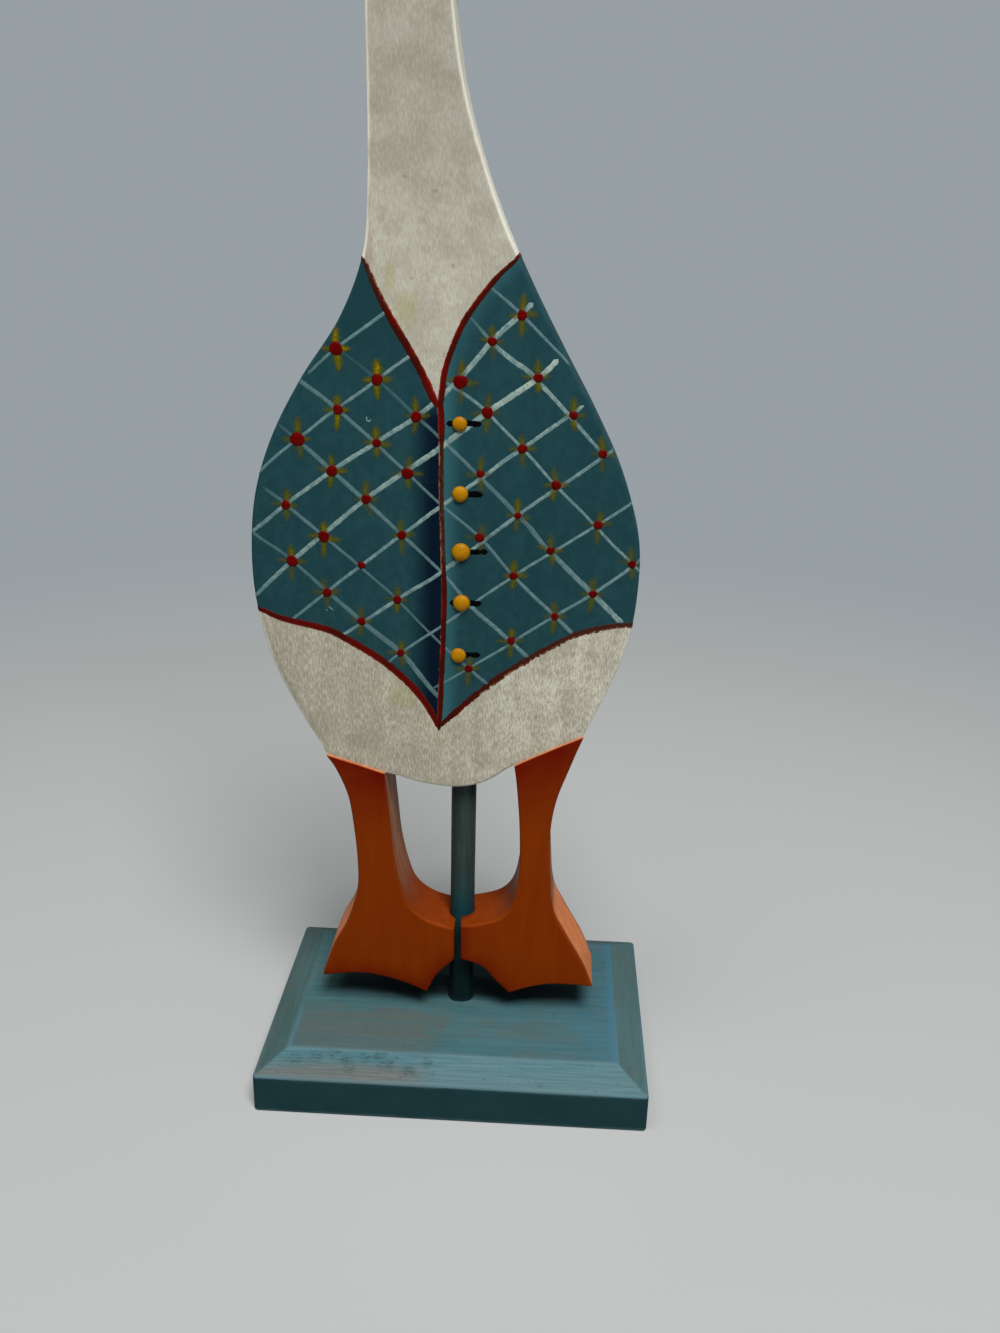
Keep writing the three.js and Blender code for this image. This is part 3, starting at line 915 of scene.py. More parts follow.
# where the cream is marked: smudges of the vest's olive by the collar and the hem, a rub at the
# neck's edge, grey patches on the belly, and small dark dots
OLIVE_SMUDGES = [
    ((-19.5, -12, 293), (4.5, 8, 7)), ((-25, -12, 303), (2.4, 8, 5)), ((-22, -12, 157.5), (6, 8, 5)),
]
NECK_RUBS = [((-31.5, -12, 311), (1.6, 8, 9)), ((-31.8, -12, 326), (1.2, 8, 6))]
BELLY_SMUDGES = [((8, -12, 133), (5, 8, 3.5)), ((-36, -12, 139), (9, 8, 5)), ((-50, -12, 146), (8, 8, 7))]
CREAM_DOTS = [
    ((-20, -12, 333), (0.9, 6, 0.6)), ((-10.5, -12, 329), (1.5, 6, 0.7)), ((-18, -12, 303), (0.8, 6, 0.6)),
    ((-4.5, -12, 307), (0.7, 6, 0.8)), ((18.5, -12, 143), (0.7, 6, 0.7)), ((7, -12, 139), (0.6, 6, 0.6)),
    ((-28, -12, 152), (0.6, 6, 0.6)), ((31, -12, 158), (0.6, 6, 0.5)),
]


def cream_finish():
    """Antique cream paint, thin enough to show fine upright grain, paler on the eased edges and more
    so where they face left, partly as painted light. The neck is painted greyer going up as painted
    shade, and pale on its right side as painted light.
    """
    material, shader, place = start_paint("goose_cream", gloss=0.06)
    x, _, z = split(place)
    facing_x = facing_of(place)[0]
    grain = streaks_at(place, 0.9, 0.9, 3.6)
    long_grain = streaks_at(place, 2.0, 2.0, 24)["Broad"]
    speckle = mottle_at(place, 2.4, 1.3)
    patches = mottle_at(place, 11.5, 4.2)
    belly = fade(z, 0.23, 0.17)
    # painted shade: the cream is painted greyer going up the neck, against the stronger lamp light there
    shaded_neck = fade(z, 0.290, 0.370, 0.0, 0.90)
    edge = mark_on(place, "edge")
    # painted light: the right side of the neck, facing away from the lamps, is painted pale as if lit
    neck_side_painted_light = mark_on(place, "side") * fade(facing_x, 0.3, 0.6) * fade(z, 0.26, 0.29, 0.0, 0.85)
    inner_line = fade(edge, 0.16, 0.24) * fade(edge, 0.52, 0.36) * fade(x, -0.015, -0.025, 0.0, 0.3) * belly
    # the eased edges are rubbed paler, and those facing left more so, partly as painted light where the lamps
    # leave them dark
    rubbed = wear_at(place, 0.9, 20) * fade(facing_x, -0.2, 0.2, 1.0, 0.70)
    rub_and_painted_light = mix(fade(facing_x, -0.2, 0.2), (0.800, 0.770, 0.650), (0.670, 0.660, 0.570))
    pale_grain = fade(grain["Fine"], 0.4, 1.0, 0.0, 0.42) * fade(belly, 0.0, 1.0, 0.35, 1.0)
    dark_grain = fade(grain["Fine"], 0.6, 0.0, 0.0, 0.62) * fade(belly, 0.0, 1.0, 0.40, 1.0)
    base = mix(mottle_at(place, 55)["Cloud"], (0.322, 0.312, 0.256), (0.420, 0.410, 0.346))
    colour = coats(base, [
        ("warm belly", belly * fade(x, 0.020, -0.006, 0.0, 0.90), (0.350, 0.322, 0.246)),
        ("darker far left", belly * fade(x, -0.025, -0.050), (0.305, 0.282, 0.222)),
        ("paler far right", belly * fade(x, 0.008, 0.028), (0.475, 0.458, 0.372)),
        ("greyer up the neck", shaded_neck, (0.222, 0.211, 0.175)),
        ("patches", fade(patches["Cloud"], 0.0, 1.0, 0.0, 0.62), (0.262, 0.246, 0.190)),
        ("dark blotches", fade(patches["Cloud"], 0.45, 0.85, 0.0, 0.32) * shaded_neck, (0.140, 0.133, 0.108)),
        ("pale blotches", fade(patches["Cloud"], 0.50, 0.15, 0.0, 0.42) * shaded_neck, (0.330, 0.318, 0.270)),
        ("speckle", fade(speckle["Cloud"], 0.0, 1.0, 0.24, 0.0), (0.270, 0.248, 0.190)),
        ("pale grain", pale_grain, (0.530, 0.512, 0.430)),
        ("dark grain", dark_grain, (0.240, 0.215, 0.155)),
        ("long pale lines", fade(long_grain, 0.50, 1.0, 0.0, 0.12) * belly, (0.560, 0.540, 0.455)),
        ("long dark lines", fade(long_grain, 0.50, 0.0, 0.0, 0.20) * belly, (0.235, 0.208, 0.150)),
        ("dashes", grain["Dashes"] * fade(belly, 0.0, 1.0, 0.20, 0.60), (0.190, 0.165, 0.110)),
        ("small flecks", speckle["Flecks"] * 0.35, (0.205, 0.180, 0.125)),
        ("large flecks", patches["Flecks"] * 0.25, (0.250, 0.230, 0.175)),
        ("olive smudges", spots_on(place, OLIVE_SMUDGES) * 0.32, (0.250, 0.240, 0.060)),
        ("grey smudges", spots_on(place, BELLY_SMUDGES) * 0.28, (0.190, 0.175, 0.125)),
        ("brown rubs", spots_on(place, NECK_RUBS) * 0.35, (0.200, 0.130, 0.090)),
        ("dark dots", spots_on(place, CREAM_DOTS) * 0.40, (0.120, 0.110, 0.085)),
        ("pale side of the neck", neck_side_painted_light, (0.640, 0.630, 0.540)),
        ("line inside the edge", inner_line, (0.150, 0.130, 0.090)),
        ("rubbed edges", rubbed, rub_and_painted_light),
    ])
    height = grain["Fine"] - grain["Dashes"]
    return end_paint(
        material, shader, colour, grain["Fine"], dull=(0.62, 0.74), relief=0.25, depth=0.08, height=height,
    )


def vest_inside(place):
    """The vest's teal paint: brushed, darkened to navy left of the front edging and lightened
    right of it and along the right collar, as a painter floats in a shadow and a light."""
    x, y, z = split(place)
    brush = streaks_at(place, 2.2, 2.2, 18)
    # how far right of the edging a point is: straight up the opening, then out along the collar
    edging = reckon("POWER", highest(z - 0.268, 0.0), 2.0) * 13.3 - 0.0077
    right_of = x - edging
    front = fade(y, -0.008, -0.011)
    navy = fade(right_of, -0.0130, -0.0030) * fade(right_of, 0.0002, -0.0002) * fade(z, 0.266, 0.258) * front
    light = fade(right_of, 0.0075, 0.0008) * fade(right_of, -0.0002, 0.0002) * front
    light = light * fade(brush["Broad"], 0.0, 1.0, 0.70, 0.95) * fade(z, 0.262, 0.285, 1.0, 0.50)
    upper_left = fade(z, 0.262, 0.295) * fade(x, -0.005, -0.018)
    dabs = fade(mottle_at(place, 3.2)["Cloud"], 0.15, 0.85, 0.0, 0.42)
    teal = mix(brush["Broad"], (0.0085, 0.0375, 0.0450), (0.0105, 0.0435, 0.0515))
    colour = coats(teal, [
        ("clouds", mottle_at(place, 30)["Cloud"] * 0.5, (0.0120, 0.0480, 0.0530)),
        ("dark dabs", dabs, (0.0058, 0.0300, 0.0400)),
        ("navy shadow", navy, (0.0002, 0.0045, 0.0125)),
        ("darker at the upper left", upper_left * 0.8, (0.0062, 0.0310, 0.0370)),
        ("light", light, (0.024, 0.093, 0.106)),
    ])
    return {"Colour": colour, "Relief": brush["Fine"]}


vest_teal_paint = make_group("vest_teal_paint", {"Place": NOWHERE}, vest_inside)

# x and height of the small dark red nicks in the vest's right edge
EDGE_CHIPS = [(22, 301.6), (23.9, 298), (26.8, 292.6), (37.8, 272.6), (44.3, 261)]


def vest_finish():
    """The vest's teal paint, rubbed a little paler on the eased edges, with a few red nicks."""
    material, shader, place = start_paint("vest_teal", gloss=0.06)
    teal = place_group(vest_teal_paint, {"Place": place})
    nicks = [((x, -9.5, height), (0.9, 3.5, 1.1)) for x, height in EDGE_CHIPS]
    nicks = spots_on(place, nicks, raggedness=0.5)
    colour = coats(teal["Colour"], [
        ("rubbed edges", wear_at(place, 0.40, 10) * 0.28, (0.035, 0.110, 0.125)),
        ("red nicks", nicks * 0.7, (0.085, 0.012, 0.008)),
    ])
    return end_paint(material, shader, colour, teal["Relief"], dull=(0.52, 0.64), relief=0.25, depth=0.08)


def beak_finish():
    """Burnt-orange paint for the beak, brushed along it."""
    material, shader, place = start_paint("beak_orange", gloss=0.1)
    brush = streaks_at(place, 12, 1.5, 1.5)
    orange = mix(brush["Broad"], (0.165, 0.018, 0.0003), (0.195, 0.026, 0.0005))
    colour = mix(wear_at(place, 0.6, 8) * 0.5, orange, (0.330, 0.120, 0.030), "rubbed edges")
    return end_paint(material, shader, colour, brush["Fine"], dull=(0.42, 0.54), relief=0.25, depth=0.08)


def paint_patches(piece):
    """Gives each face of the body board the paint of the patch that it lies in."""
    mesh = piece.data
    centres = np.array([tuple(face.center) for face in mesh.polygons]) / MM - (ROD_AXIS[0], 0, 0)
    flat = centres[:, [0, 2]]
    front = centres[:, 1] < ROD_AXIS[1]
    facing = np.abs(centres[:, 1] - ROD_AXIS[1]) > BOARD_THICKNESS / 2 - 0.01
    vest = np.where(front, inside(flat, vest_front), inside(flat, vest_back))
    beak = inside(flat, beak_patch)
    step = nearest_on(flat, goose_outline)[2]
    left = [rim_number(painted_lines[n][0]) for n in ("neckline", "hem")]
    right = [rim_number(painted_lines[n][-1]) for n in ("hem", "neckline")]
    on_side = (step >= left[0]) & (step < left[1]) | (step >= right[0]) & (step < right[1])
    vest = np.where(facing, vest, on_side)
    beak = np.where(facing, beak, (step >= beak_first) & (step < beak_last))
    mesh.polygons.foreach_set("material_index", np.where(beak, 2, np.where(vest, 1, 0)).astype(np.int32))


def make_body():
    """Saws the body board, drills it for the rod and paints its patches."""
    front = [painted_lines[n] for n in ("neckline", "hem", "beak_root")]
    back = [painted_lines[n] for n in ("back_neckline", "back_hem", "beak_root")]
    piece = saw_board(
        "goose_board", goose_outline, BOARD_THICKNESS, goose_easing, front, back, cream_finish(),
    )
    drill(piece, BOARD_DRILLED_FROM, ROD_TOP + ROD_END_GAP)
    piece.data.materials.append(vest_finish())
    piece.data.materials.append(beak_finish())
    paint_patches(piece)
    keep_flats_flat(piece)
    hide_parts("body_board")


make_body()

# Legs
# Two sawn boards, a little thicker than the body, each a leg and a webbed foot in one. They are
# pegged and glued under the belly, and painted burnt orange with dark red at hips and toes.
LEG_THICKNESS = 24
LEG_EASING = 0.9
LEG_STEP = 2.0
LEG_GAP = 0.01
HIP_SHADE_REACH = 30
TOE_SHADE_REACH = 9
LEG_SCUFFS = [((-36.4, -13.5, 52), (1.6, 6, 1.0)), ((-22, -13.5, 47), (1.0, 6, 0.6))]
LEFT_LEG = [
    [(-50.6, 102.9), (-47.6, 98.1), (-43.1, 86.9), (-41.2, 74.4), (-40, 59.4), (-40.3, 46.2),
     (-44.4, 31.9), (-50, 20.7), (-53.8, 10), (-55, 5.6)],
    [(-55, 5.6), (-42.5, 7.3), (-35, 7.1), (-27.5, 5.6), (-20, 3.1), (-13.1, 0)],
    [(-13.1, 0), (-10.2, 6.3), (-8.1, 9.6), (-2.4, 15.6)],
    [(-2.4, 15.6), (-2.4, 30.2)],
    [(-2.4, 30.2), (-12.5, 33.2), (-19.4, 38.8), (-22.7, 46.9), (-25.6, 60.4), (-27.2, 76.9),
     (-28.5, 90.4), (-29, 96.3)],
]
RIGHT_LEG = [
    [(19.4, 101.6), (20.5, 93.4), (21.9, 78.2), (22.5, 63.2), (22.2, 53.4), (20, 41.9),
     (15, 35.6), (6.2, 32.5), (0.2, 31.7)],
    [(0.2, 31.7), (0.4, 16.3)],
    [(0.4, 16.3), (8.8, 13.2), (14.4, 6.9), (20, 1.3)],
    [(20, 1.3), (27.5, 4.4), (35, 6.3), (42.5, 6.7), (53.1, 6.3)],
    [(53.1, 6.3), (48.8, 16.9), (41.2, 30.6), (36.2, 41.2), (34.5, 57), (33.8, 74.4),
     (35.6, 88.2), (40, 101.9), (44.3, 114.4)],
]


def leg_finish():
    """Burnt-orange paint with dark red shaded over the hips and toes, and paler on the sawn faces
    that look up, partly as painted light.
    """
    material, shader, place = start_paint("leg_orange", gloss=0.03)
    x, _, z = split(place)
    facing_x, _, facing_z = facing_of(place)
    brush = streaks_at(place, 1.6, 1.6, 14)
    cloud = mottle_at(place, 20)["Cloud"]
    sawn = mark_on(place, "side")
    shade = mark_on(place, "shaded") * fade(cloud, 0.0, 1.0, 0.8, 1.0) * (1.0 - sawn)
    thin = sawn * fade(brush["Broad"], 0.0, 1.0, 0.35, 0.85) * fade(z, 0.066, 0.088, 0.05, 1.0)
    # partly chalky paint and partly painted light: sawn faces slanting up and out, and the ledges under the
    # belly, are painted paler where light from above falls
    slants = fade(facing_x * reckon("SIGN", x), 0.3, 0.6) * fade(facing_z, 0.10, 0.35)
    ledges = fade(z, 0.118, 0.122) * fade(facing_z, 0.5, 0.8)
    chalk_and_painted_light = highest(slants, ledges) * sawn * fade(brush["Broad"], 0.0, 1.0, 0.80, 0.98)
    colour = coats(mix(brush["Broad"], (0.150, 0.0200, 0.0002), (0.164, 0.0245, 0.0003)), [
        ("clouds", cloud * 0.35, (0.145, 0.0190, 0.0005)),
        ("dark red at hips and toes", shade * 0.95, (0.090, 0.0014, 0.0002)),
        ("thin on the sawn sides", thin, (0.300, 0.124, 0.050)),
        ("chalky where they face up", chalk_and_painted_light, (0.560, 0.180, 0.060)),
        ("rubbed edges", wear_at(place, 0.6, 12) * 0.20, (0.260, 0.070, 0.010)),
        ("scuffs", spots_on(place, LEG_SCUFFS) * 0.08, (0.300, 0.130, 0.040)),
    ])
    return end_paint(material, shader, colour, brush["Fine"], dull=(0.40, 0.52), relief=0.3, depth=0.08)


def make_leg(name, node, sides, seat_points, finish):
    """Saws one leg, its top fitted under the belly between two of the belly's points."""
    belly = under_belly(*seat_points)
    run = np.gradient(belly, axis=0)
    run /= np.linalg.norm(run, axis=1)[:, None]
    seat = belly + np.column_stack([run[:, 1], -run[:, 0]]) * LEG_GAP
    stretches = [smooth(lifted(side)) for side in sides]
    stretches[0][0] = seat[0]
    stretches[-1][-1] = seat[-1]
    stretches.append(seat[::-1])
    outline = np.vstack([evenly(stretch, LEG_STEP)[:-1] for stretch in stretches])
    easing = ease_edges(outline, LEG_EASING, seat, 0.12)
    piece = saw_board(name, outline, LEG_THICKNESS, easing, [], [], finish)
    drill(piece, PLAQUE_HEIGHT, PLAQUE_HEIGHT + 100)
    places = np.array([tuple(v.co) for v in piece.data.vertices]) / MM - (ROD_AXIS[0], 0, 0)
    below_hip = nearest_on(places[:, [0, 2]], seat, False)[0]
    sole = evenly(np.vstack([stretches[1], stretches[2]]), LEG_STEP)
    above_sole = nearest_on(places[:, [0, 2]], sole, False)[0]
    hip = np.clip(1 - below_hip / HIP_SHADE_REACH, 0, 1) ** 1.5
    toe = np.clip(1 - above_sole / TOE_SHADE_REACH, 0, 1) ** 1.6 * 0.8
    layer = piece.data.attributes.new("shaded", "FLOAT", "POINT")
    layer.data.foreach_set("value", np.maximum(hip, toe).astype(np.float32))
    keep_flats_flat(piece)
    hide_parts(node)


leg_orange = leg_finish()
make_leg("goose_left_leg", "left_leg", LEFT_LEG, HIP_SEATS[0], leg_orange)
make_leg("goose_right_leg", "right_leg", RIGHT_LEG, HIP_SEATS[1], leg_orange)

# Hip pegs
# A short turned hardwood peg is hidden in each leg's joint under the belly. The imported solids
# stay as they are, bare wood with fine upright fibres.


def peg_finish():
    """Bare turned hardwood."""
    material, shader, place = start_paint("peg_bare_wood", gloss=0.3)
    fibre = streaks_at(place, 0.7, 0.7, 12)
    wood = mix(fibre["Broad"], (0.480, 0.330, 0.190), (0.600, 0.440, 0.270))
    colour = mix(fibre["Dashes"] * 0.5, wood, (0.300, 0.180, 0.090), "dark fibres")
    return end_paint(material, shader, colour, fibre["Fine"], dull=(0.65, 0.80), relief=0.3, depth=0.05)


peg_bare_wood = peg_finish()
for peg in ("left_hip_peg", "right_hip_peg"):
    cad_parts[peg].material_slots[0].material = peg_bare_wood

# Vest lattice
# Pale blue-grey strokes of a thin brush, first the row that falls to the right, then the row
# that rises to the right over it. The paint is thin, so the teal shows through its streaks.
FALLING_LIFT = 0.05
RISING_LIFT = 0.08
# x, height, half width and load of paint at the named points of each stroke on the front
RISING = [
    [(-53.1, 271.9, 0.55, 0.35), (-43.5, 280.4, 0.6, 0.5), (-27.5, 291.9, 0.7, 0.6)],
    [(-69.8, 240, 0.6, 0.55), (-57.4, 250.3, 0.6, 0.55), (-30, 270.8, 0.65, 0.6), (-19.8, 278.1, 0.7, 0.6)],
    [(-75, 217.5, 0.75, 0.6), (-45.9, 239.9, 0.85, 0.7), (-17, 259, 0.95, 0.72), (-3, 271.6, 1.0, 0.75),
     (7.9, 284.1, 1.05, 0.75), (20.9, 296.3, 1.05, 0.75)],
    [(-74.4, 194.4, 0.75, 0.55), (-60.9, 207.6, 0.9, 0.68), (-34.3, 230.5, 0.95, 0.72),
     (-7.5, 250, 1.1, 0.75), (6.8, 261.1, 1.2, 0.85), (23.3, 272.9, 1.1, 0.95), (29.6, 279, 1.1, 1.0)],
    [(-60, 187.5, 0.65, 0.5), (-36.4, 207, 0.7, 0.6), (-7.9, 229.4, 0.8, 0.7), (18.8, 249.5, 0.8, 0.7),
     (38.7, 264.4, 0.75, 0.7)],
    [(-42.5, 181.3, 0.7, 0.6), (-23.9, 194.8, 0.78, 0.65), (-8, 205.6, 0.8, 0.65), (17.9, 226.6, 0.75, 0.65),
     (49.4, 250, 0.7, 0.6)],
    [(-27, 171, 0.5, 0.45), (-22.8, 174.9, 0.55, 0.5), (-7.5, 186, 0.6, 0.55), (17, 205.1, 0.6, 0.6),
     (45.5, 224.3, 0.6, 0.6), (57.3, 232.5, 0.6, 0.55)],
    [(-11.3, 161.3, 0.5, 0.35), (1.8, 169.8, 0.55, 0.5), (32, 190.8, 0.65, 0.55), (46.7, 200.7, 0.7, 0.6),
     (60.4, 212, 0.7, 0.6)],
]
FALLING = [
    [(8.1, 300, 0.5, 0.4), (17.4, 292.5, 0.6, 0.5), (32.3, 278.4, 0.5, 0.45)],
    [(1.9, 290, 0.45, 0.25), (8.2, 283.4, 0.8, 0.6), (15.4, 277.8, 0.95, 0.72), (22.8, 272.3, 0.9, 0.7),
     (45.8, 248.6, 0.65, 0.65)],
    [(-6.3, 270, 0.6, 0.55), (6.8, 261.1, 0.6, 0.62), (30.6, 237.5, 0.6, 0.62), (60.5, 208.5, 0.6, 0.62)],
    [(-43.5, 280.4, 0.5, 0.06), (-30, 270.8, 0.6, 0.12), (-17, 259, 0.7, 0.25), (-8.8, 251.9, 0.65, 0.4),
     (17.9, 226.6, 0.9, 0.4), (30.9, 212.7, 1.0, 0.5), (45, 199.6, 1.1, 0.6), (56.6, 188.6, 1.2, 0.75)],
    [(-56.3, 270, 0.9, 0.45), (-43.3, 260.6, 0.8, 0.42), (-20.1, 239.9, 0.6, 0.45), (-8.5, 229.4, 0.55, 0.45),
     (4.9, 218.4, 0.6, 0.45), (17, 205.1, 0.65, 0.5), (38.8, 184.4, 0.85, 0.62)],
    [(-63.8, 255, 0.5, 0.1), (-54.5, 247.5, 0.8, 0.35), (-45.9, 239.9, 0.9, 0.45), (-22.1, 218.3, 0.75, 0.45),
     (-8.5, 205.6, 0.6, 0.5), (3.2, 192.7, 0.85, 0.55), (22.5, 175.6, 0.85, 0.58)],
    [(-70.6, 234, 0.6, 0.12), (-62.3, 227.5, 0.75, 0.35), (-49.4, 216.8, 0.65, 0.45),
     (-23.9, 194.8, 0.5, 0.3), (-8.5, 178.8, 0.55, 0.4), (8.1, 164.4, 0.7, 0.45)],
    [(-74.8, 217.5, 0.7, 0.3), (-60.9, 207.6, 0.65, 0.32), (-36.8, 186.3, 1.0, 0.42),
     (-22.8, 174.9, 1.1, 0.48), (-12.5, 162.4, 1.0, 0.46), (-7.6, 156.6, 0.9, 0.42)],
]
STROKE_STEP = 0.9
# how near the board's edge or the edging a stroke's end has to be to reach it, and how far it goes
# under the edging
NEAR_EDGE = 0.9
NEAR_EDGING = 3.2
UNDER_EDGING = 0.4
# across a stroke: places as a share of its half width, and how high the paint stands there
STROKE_PROFILE = [(-1, -0.6), (-0.72, 0.75), (-0.3, 1), (0.3, 1), (0.72, 0.75), (1, -0.6)]
hand = np.random.default_rng(7)


def on_goose(flat, lift, back=False):
    """Lays flat pattern points on the board's face, or over its eased edge onto its side."""
    gap, nearest, step = nearest_on(flat, goose_outline)
    following = (step + 1) % len(goose_outline)
    run = goose_outline[following] - goose_outline[step]
    run /= np.linalg.norm(run, axis=1)[:, None]
    square = np.column_stack([run[:, 1], -run[:, 0]])
    square *= np.sign(np.sum(square * goose_outward[step], axis=1))[:, None]
    depth_in = np.where(inside(flat, goose_outline), gap, -gap)
    past = np.clip(BOARD_EASING - depth_in, 0, None)
    bend = np.clip(past / BOARD_EASING, 0, math.pi / 2)
    over = np.clip(past - BOARD_EASING * math.pi / 2, 0, BOARD_THICKNESS / 2)
    curved = nearest + square * (BOARD_EASING * (np.sin(bend) - 1))[:, None]
    placed = np.where((past > 0)[:, None], curved, flat)
    placed = placed + square * (np.sin(bend) * lift)[:, None]
    depth = BOARD_EASING * (1 - np.cos(bend)) + over - np.cos(bend) * lift
    y = ROD_AXIS[1] - BOARD_THICKNESS / 2 + depth
    if back:
        y = 2 * ROD_AXIS[1] - y
    return np.column_stack([placed[:, 0] + ROD_AXIS[0], y, placed[:, 1]])


def with_width(line, half_width, load=1.0):
    """Adds to a line the stroke's half width and the load of paint at each point."""
    line = np.array(line, float)[:, :2]
    more = [np.broadcast_to(values, len(line)) for values in (half_width, load)]
    return np.column_stack([line] + more)


def brush_stroke(line, lift, back=False, blunt=1.5, dries=0.0, wobble=0.12, ragged=0.06, step=STROKE_STEP):
    """One stroke of paint as a thin closed ridge: its points, faces and marks. The line carries
    its half width and load; over the last millimetres of "dries" the paint runs out."""
    line = evenly(np.asarray(line, float), step)
    flat_line, half_width, load = line[:, :2], line[:, 2], line[:, 3]
    count = len(line)
    run = np.gradient(flat_line, axis=0)
    run /= np.linalg.norm(run, axis=1)[:, None]
    square = np.column_stack([-run[:, 1], run[:, 0]])
    along = np.arange(count) * step
    to_end = np.minimum(along, along[::-1])
    tip = np.sqrt(np.clip(to_end / blunt, 0.02, 1))
    knots = np.arange(0, along[-1] + 9, 8)
    swing = np.interp(along, knots, hand.normal(0, wobble, len(knots)))
    width = half_width * tip * (1 + hand.normal(0, ragged, count))
    middle = flat_line + square * swing[:, None]
    ridges = []
    for side, rise in STROKE_PROFILE:
        ridges.append(on_goose(middle + square * (side * width)[:, None], lift * rise, back))
    points, faces = skin(np.stack(ridges, axis=1))
    loads = load * np.clip(to_end / dries, 0.3, 1) if dries else load
    across = [side for side, _ in STROKE_PROFILE]
    marks = {"across": np.tile(across, count), "load": np.repeat(loads, len(across))}
    return points, faces, marks


def gather(name, strokes, material):
    """Joins strokes of one colour into one piece of paint on the board."""
    points, faces, marks, total = [], [], {}, 0
    for stroke_points, stroke_faces, stroke_marks in strokes:
        points.append(stroke_points)
        faces += [[v + total for v in face] for face in stroke_faces]
        for mark, values in stroke_marks.items():
            marks.setdefault(mark, []).append(values)
        total += len(stroke_points)
    marks = {mark: np.concatenate(values) for mark, values in marks.items()}
    piece = make_piece(name, np.vstack(points), faces, material, marks)


def stretched_on(line, reach):
    """Draws a stroke on where it ends near the board's edge, so it goes over it, or near the
    collar or the hem, so that the edging covers its end."""
    line = np.array(line, float)
    for end, inner in ((0, 1), (-1, -2)):
        place = line[end][None, :2]
        grow = reach if nearest_on(place, goose_outline)[0][0] < NEAR_EDGE else 0
        for name in ("neckline", "hem"):
            gap = nearest_on(place, painted_lines[name], False)[0][0]
            grow = max(grow, gap + UNDER_EDGING) if gap < NEAR_EDGING else grow
        if grow:
            grown = line[end].copy()
            run = line[end, :2] - line[inner, :2]
            grown[:2] += run / np.linalg.norm(run) * grow
            line = np.vstack([grown[None], line]) if end == 0 else np.vstack([line, grown[None]])
    return line


def loaded_paint(name, thin_colour, thick_colour, fills=1.6, soft_from=0.8, gone_at=1.25, ragged=0.25,
                 see_through=False):
    """Makes a finish for strokes that is coloured by their load of paint: teal, then the thin
    colour, then the thick one. A stroke thins out between "soft_from" and "gone_at" of its half
    width, and dry bristles leave gaps. Where see_through is set, the strokes below show too."""
    material, shader, place = start_paint(name, 0.05)
    brush = streaks_at(place, 1.0, 1.0, 1.0)
    gaps = streaks_at(place, 1.9, 1.9, 3.4)["Dashes"]
    middle = reckon("ABSOLUTE", mark_on(place, "across"))
    solid = fade(middle + brush["Fine"] * ragged, gone_at, soft_from) * mark_on(place, "load")
    solid = solid * fade(gaps, 0.0, 1.0, 1.0, 0.72) * fade(brush["Broad"], 0.0, 1.0, 0.85, 1.08)
    thin = reckon("MULTIPLY", solid, fills, clamp=True)
    if see_through:
        plug_in(thin, shader["Alpha"])
        colour = thin_colour
    else:
        under = place_group(vest_teal_paint, {"Place": place})["Colour"]
        colour = mix(thin, under, thin_colour, "thin paint")
    colour = mix(fade(solid, 0.50, 1.02), colour, thick_colour, "thick paint")
    return end_paint(material, shader, colour, brush["Fine"], dull=(0.50, 0.60), relief=0.3, depth=0.05)


def runs_inside(start, end, patch):
    """The part of a straight line that lies inside a patch, or nothing."""
    share = np.linspace(0, 1, 400)[:, None]
    line = np.array(start) + (np.array(end) - np.array(start)) * share
    kept = line[inside(line, patch)]
    return kept[[0, -1]] if len(kept) > 20 else None


def back_row(left_height, right_height, apart, count=8):
    """The parallel strokes of one direction on the back, from the lowest one's two heights."""
    lines = []
    for up in apart * np.arange(count):
        lines.append(runs_inside((-100, left_height + up), (100, right_height + up), vest_back))
    return [line for line in lines if line is not None]


def lattice_strokes(front, back, lift, reach, half_width, load, **brush):
    """The strokes of one direction: on the front by their own widths and loads, and on the back
    all alike. At the board's edge they reach over it by so much."""
    strokes = [brush_stroke(stretched_on(smooth(line), reach), lift, **brush) for line in front]
    for line in back:
        alike = with_width(line, half_width, load)
        strokes.append(brush_stroke(stretched_on(alike, reach), lift, True))
    return strokes


back_rising = back_row(left_height=120, right_height=274, apart=21.2)
back_falling = back_row(left_height=263, right_height=92, apart=22.4)
rising_strokes = lattice_strokes(
    RISING, back_rising, RISING_LIFT, reach=3.2, half_width=0.8, load=0.65, blunt=1.0,
)
falling_strokes = lattice_strokes(
    FALLING, back_falling, FALLING_LIFT, reach=2.6, half_width=0.65, load=0.5, dries=2.5,
)
# bluer where the paint is thin, paler and greyer where it is thick
lattice_pale = loaded_paint("lattice_pale", (0.096, 0.165, 0.172), (0.270, 0.330, 0.280))
gather("vest_lattice_falling", falling_strokes, lattice_pale)
gather("vest_lattice_rising", rising_strokes, lattice_pale)

# Vest flowers
# At each crossing of the lattice four olive-yellow petals, dabbed upright and level, and a red
# dot set on them with the end of a brush handle, thick enough to stand up.
PETAL_LIFT = 0.11
DOT_LIFT = 0.42
DOT_SIZE = 3.4
CLEAR_OF_EDGING = 3.5
# rings of a round dab from its foot to its top: share of the radius, rise, and its rim mark
DAB_RINGS = [
    (1.0, -0.15, 1), (0.98, 0.28, 0.95), (0.88, 0.62, 0.8), (0.68, 0.87, 0.55), (0.38, 1.0, 0.25),
    (0.1, 1.0, 0),
]
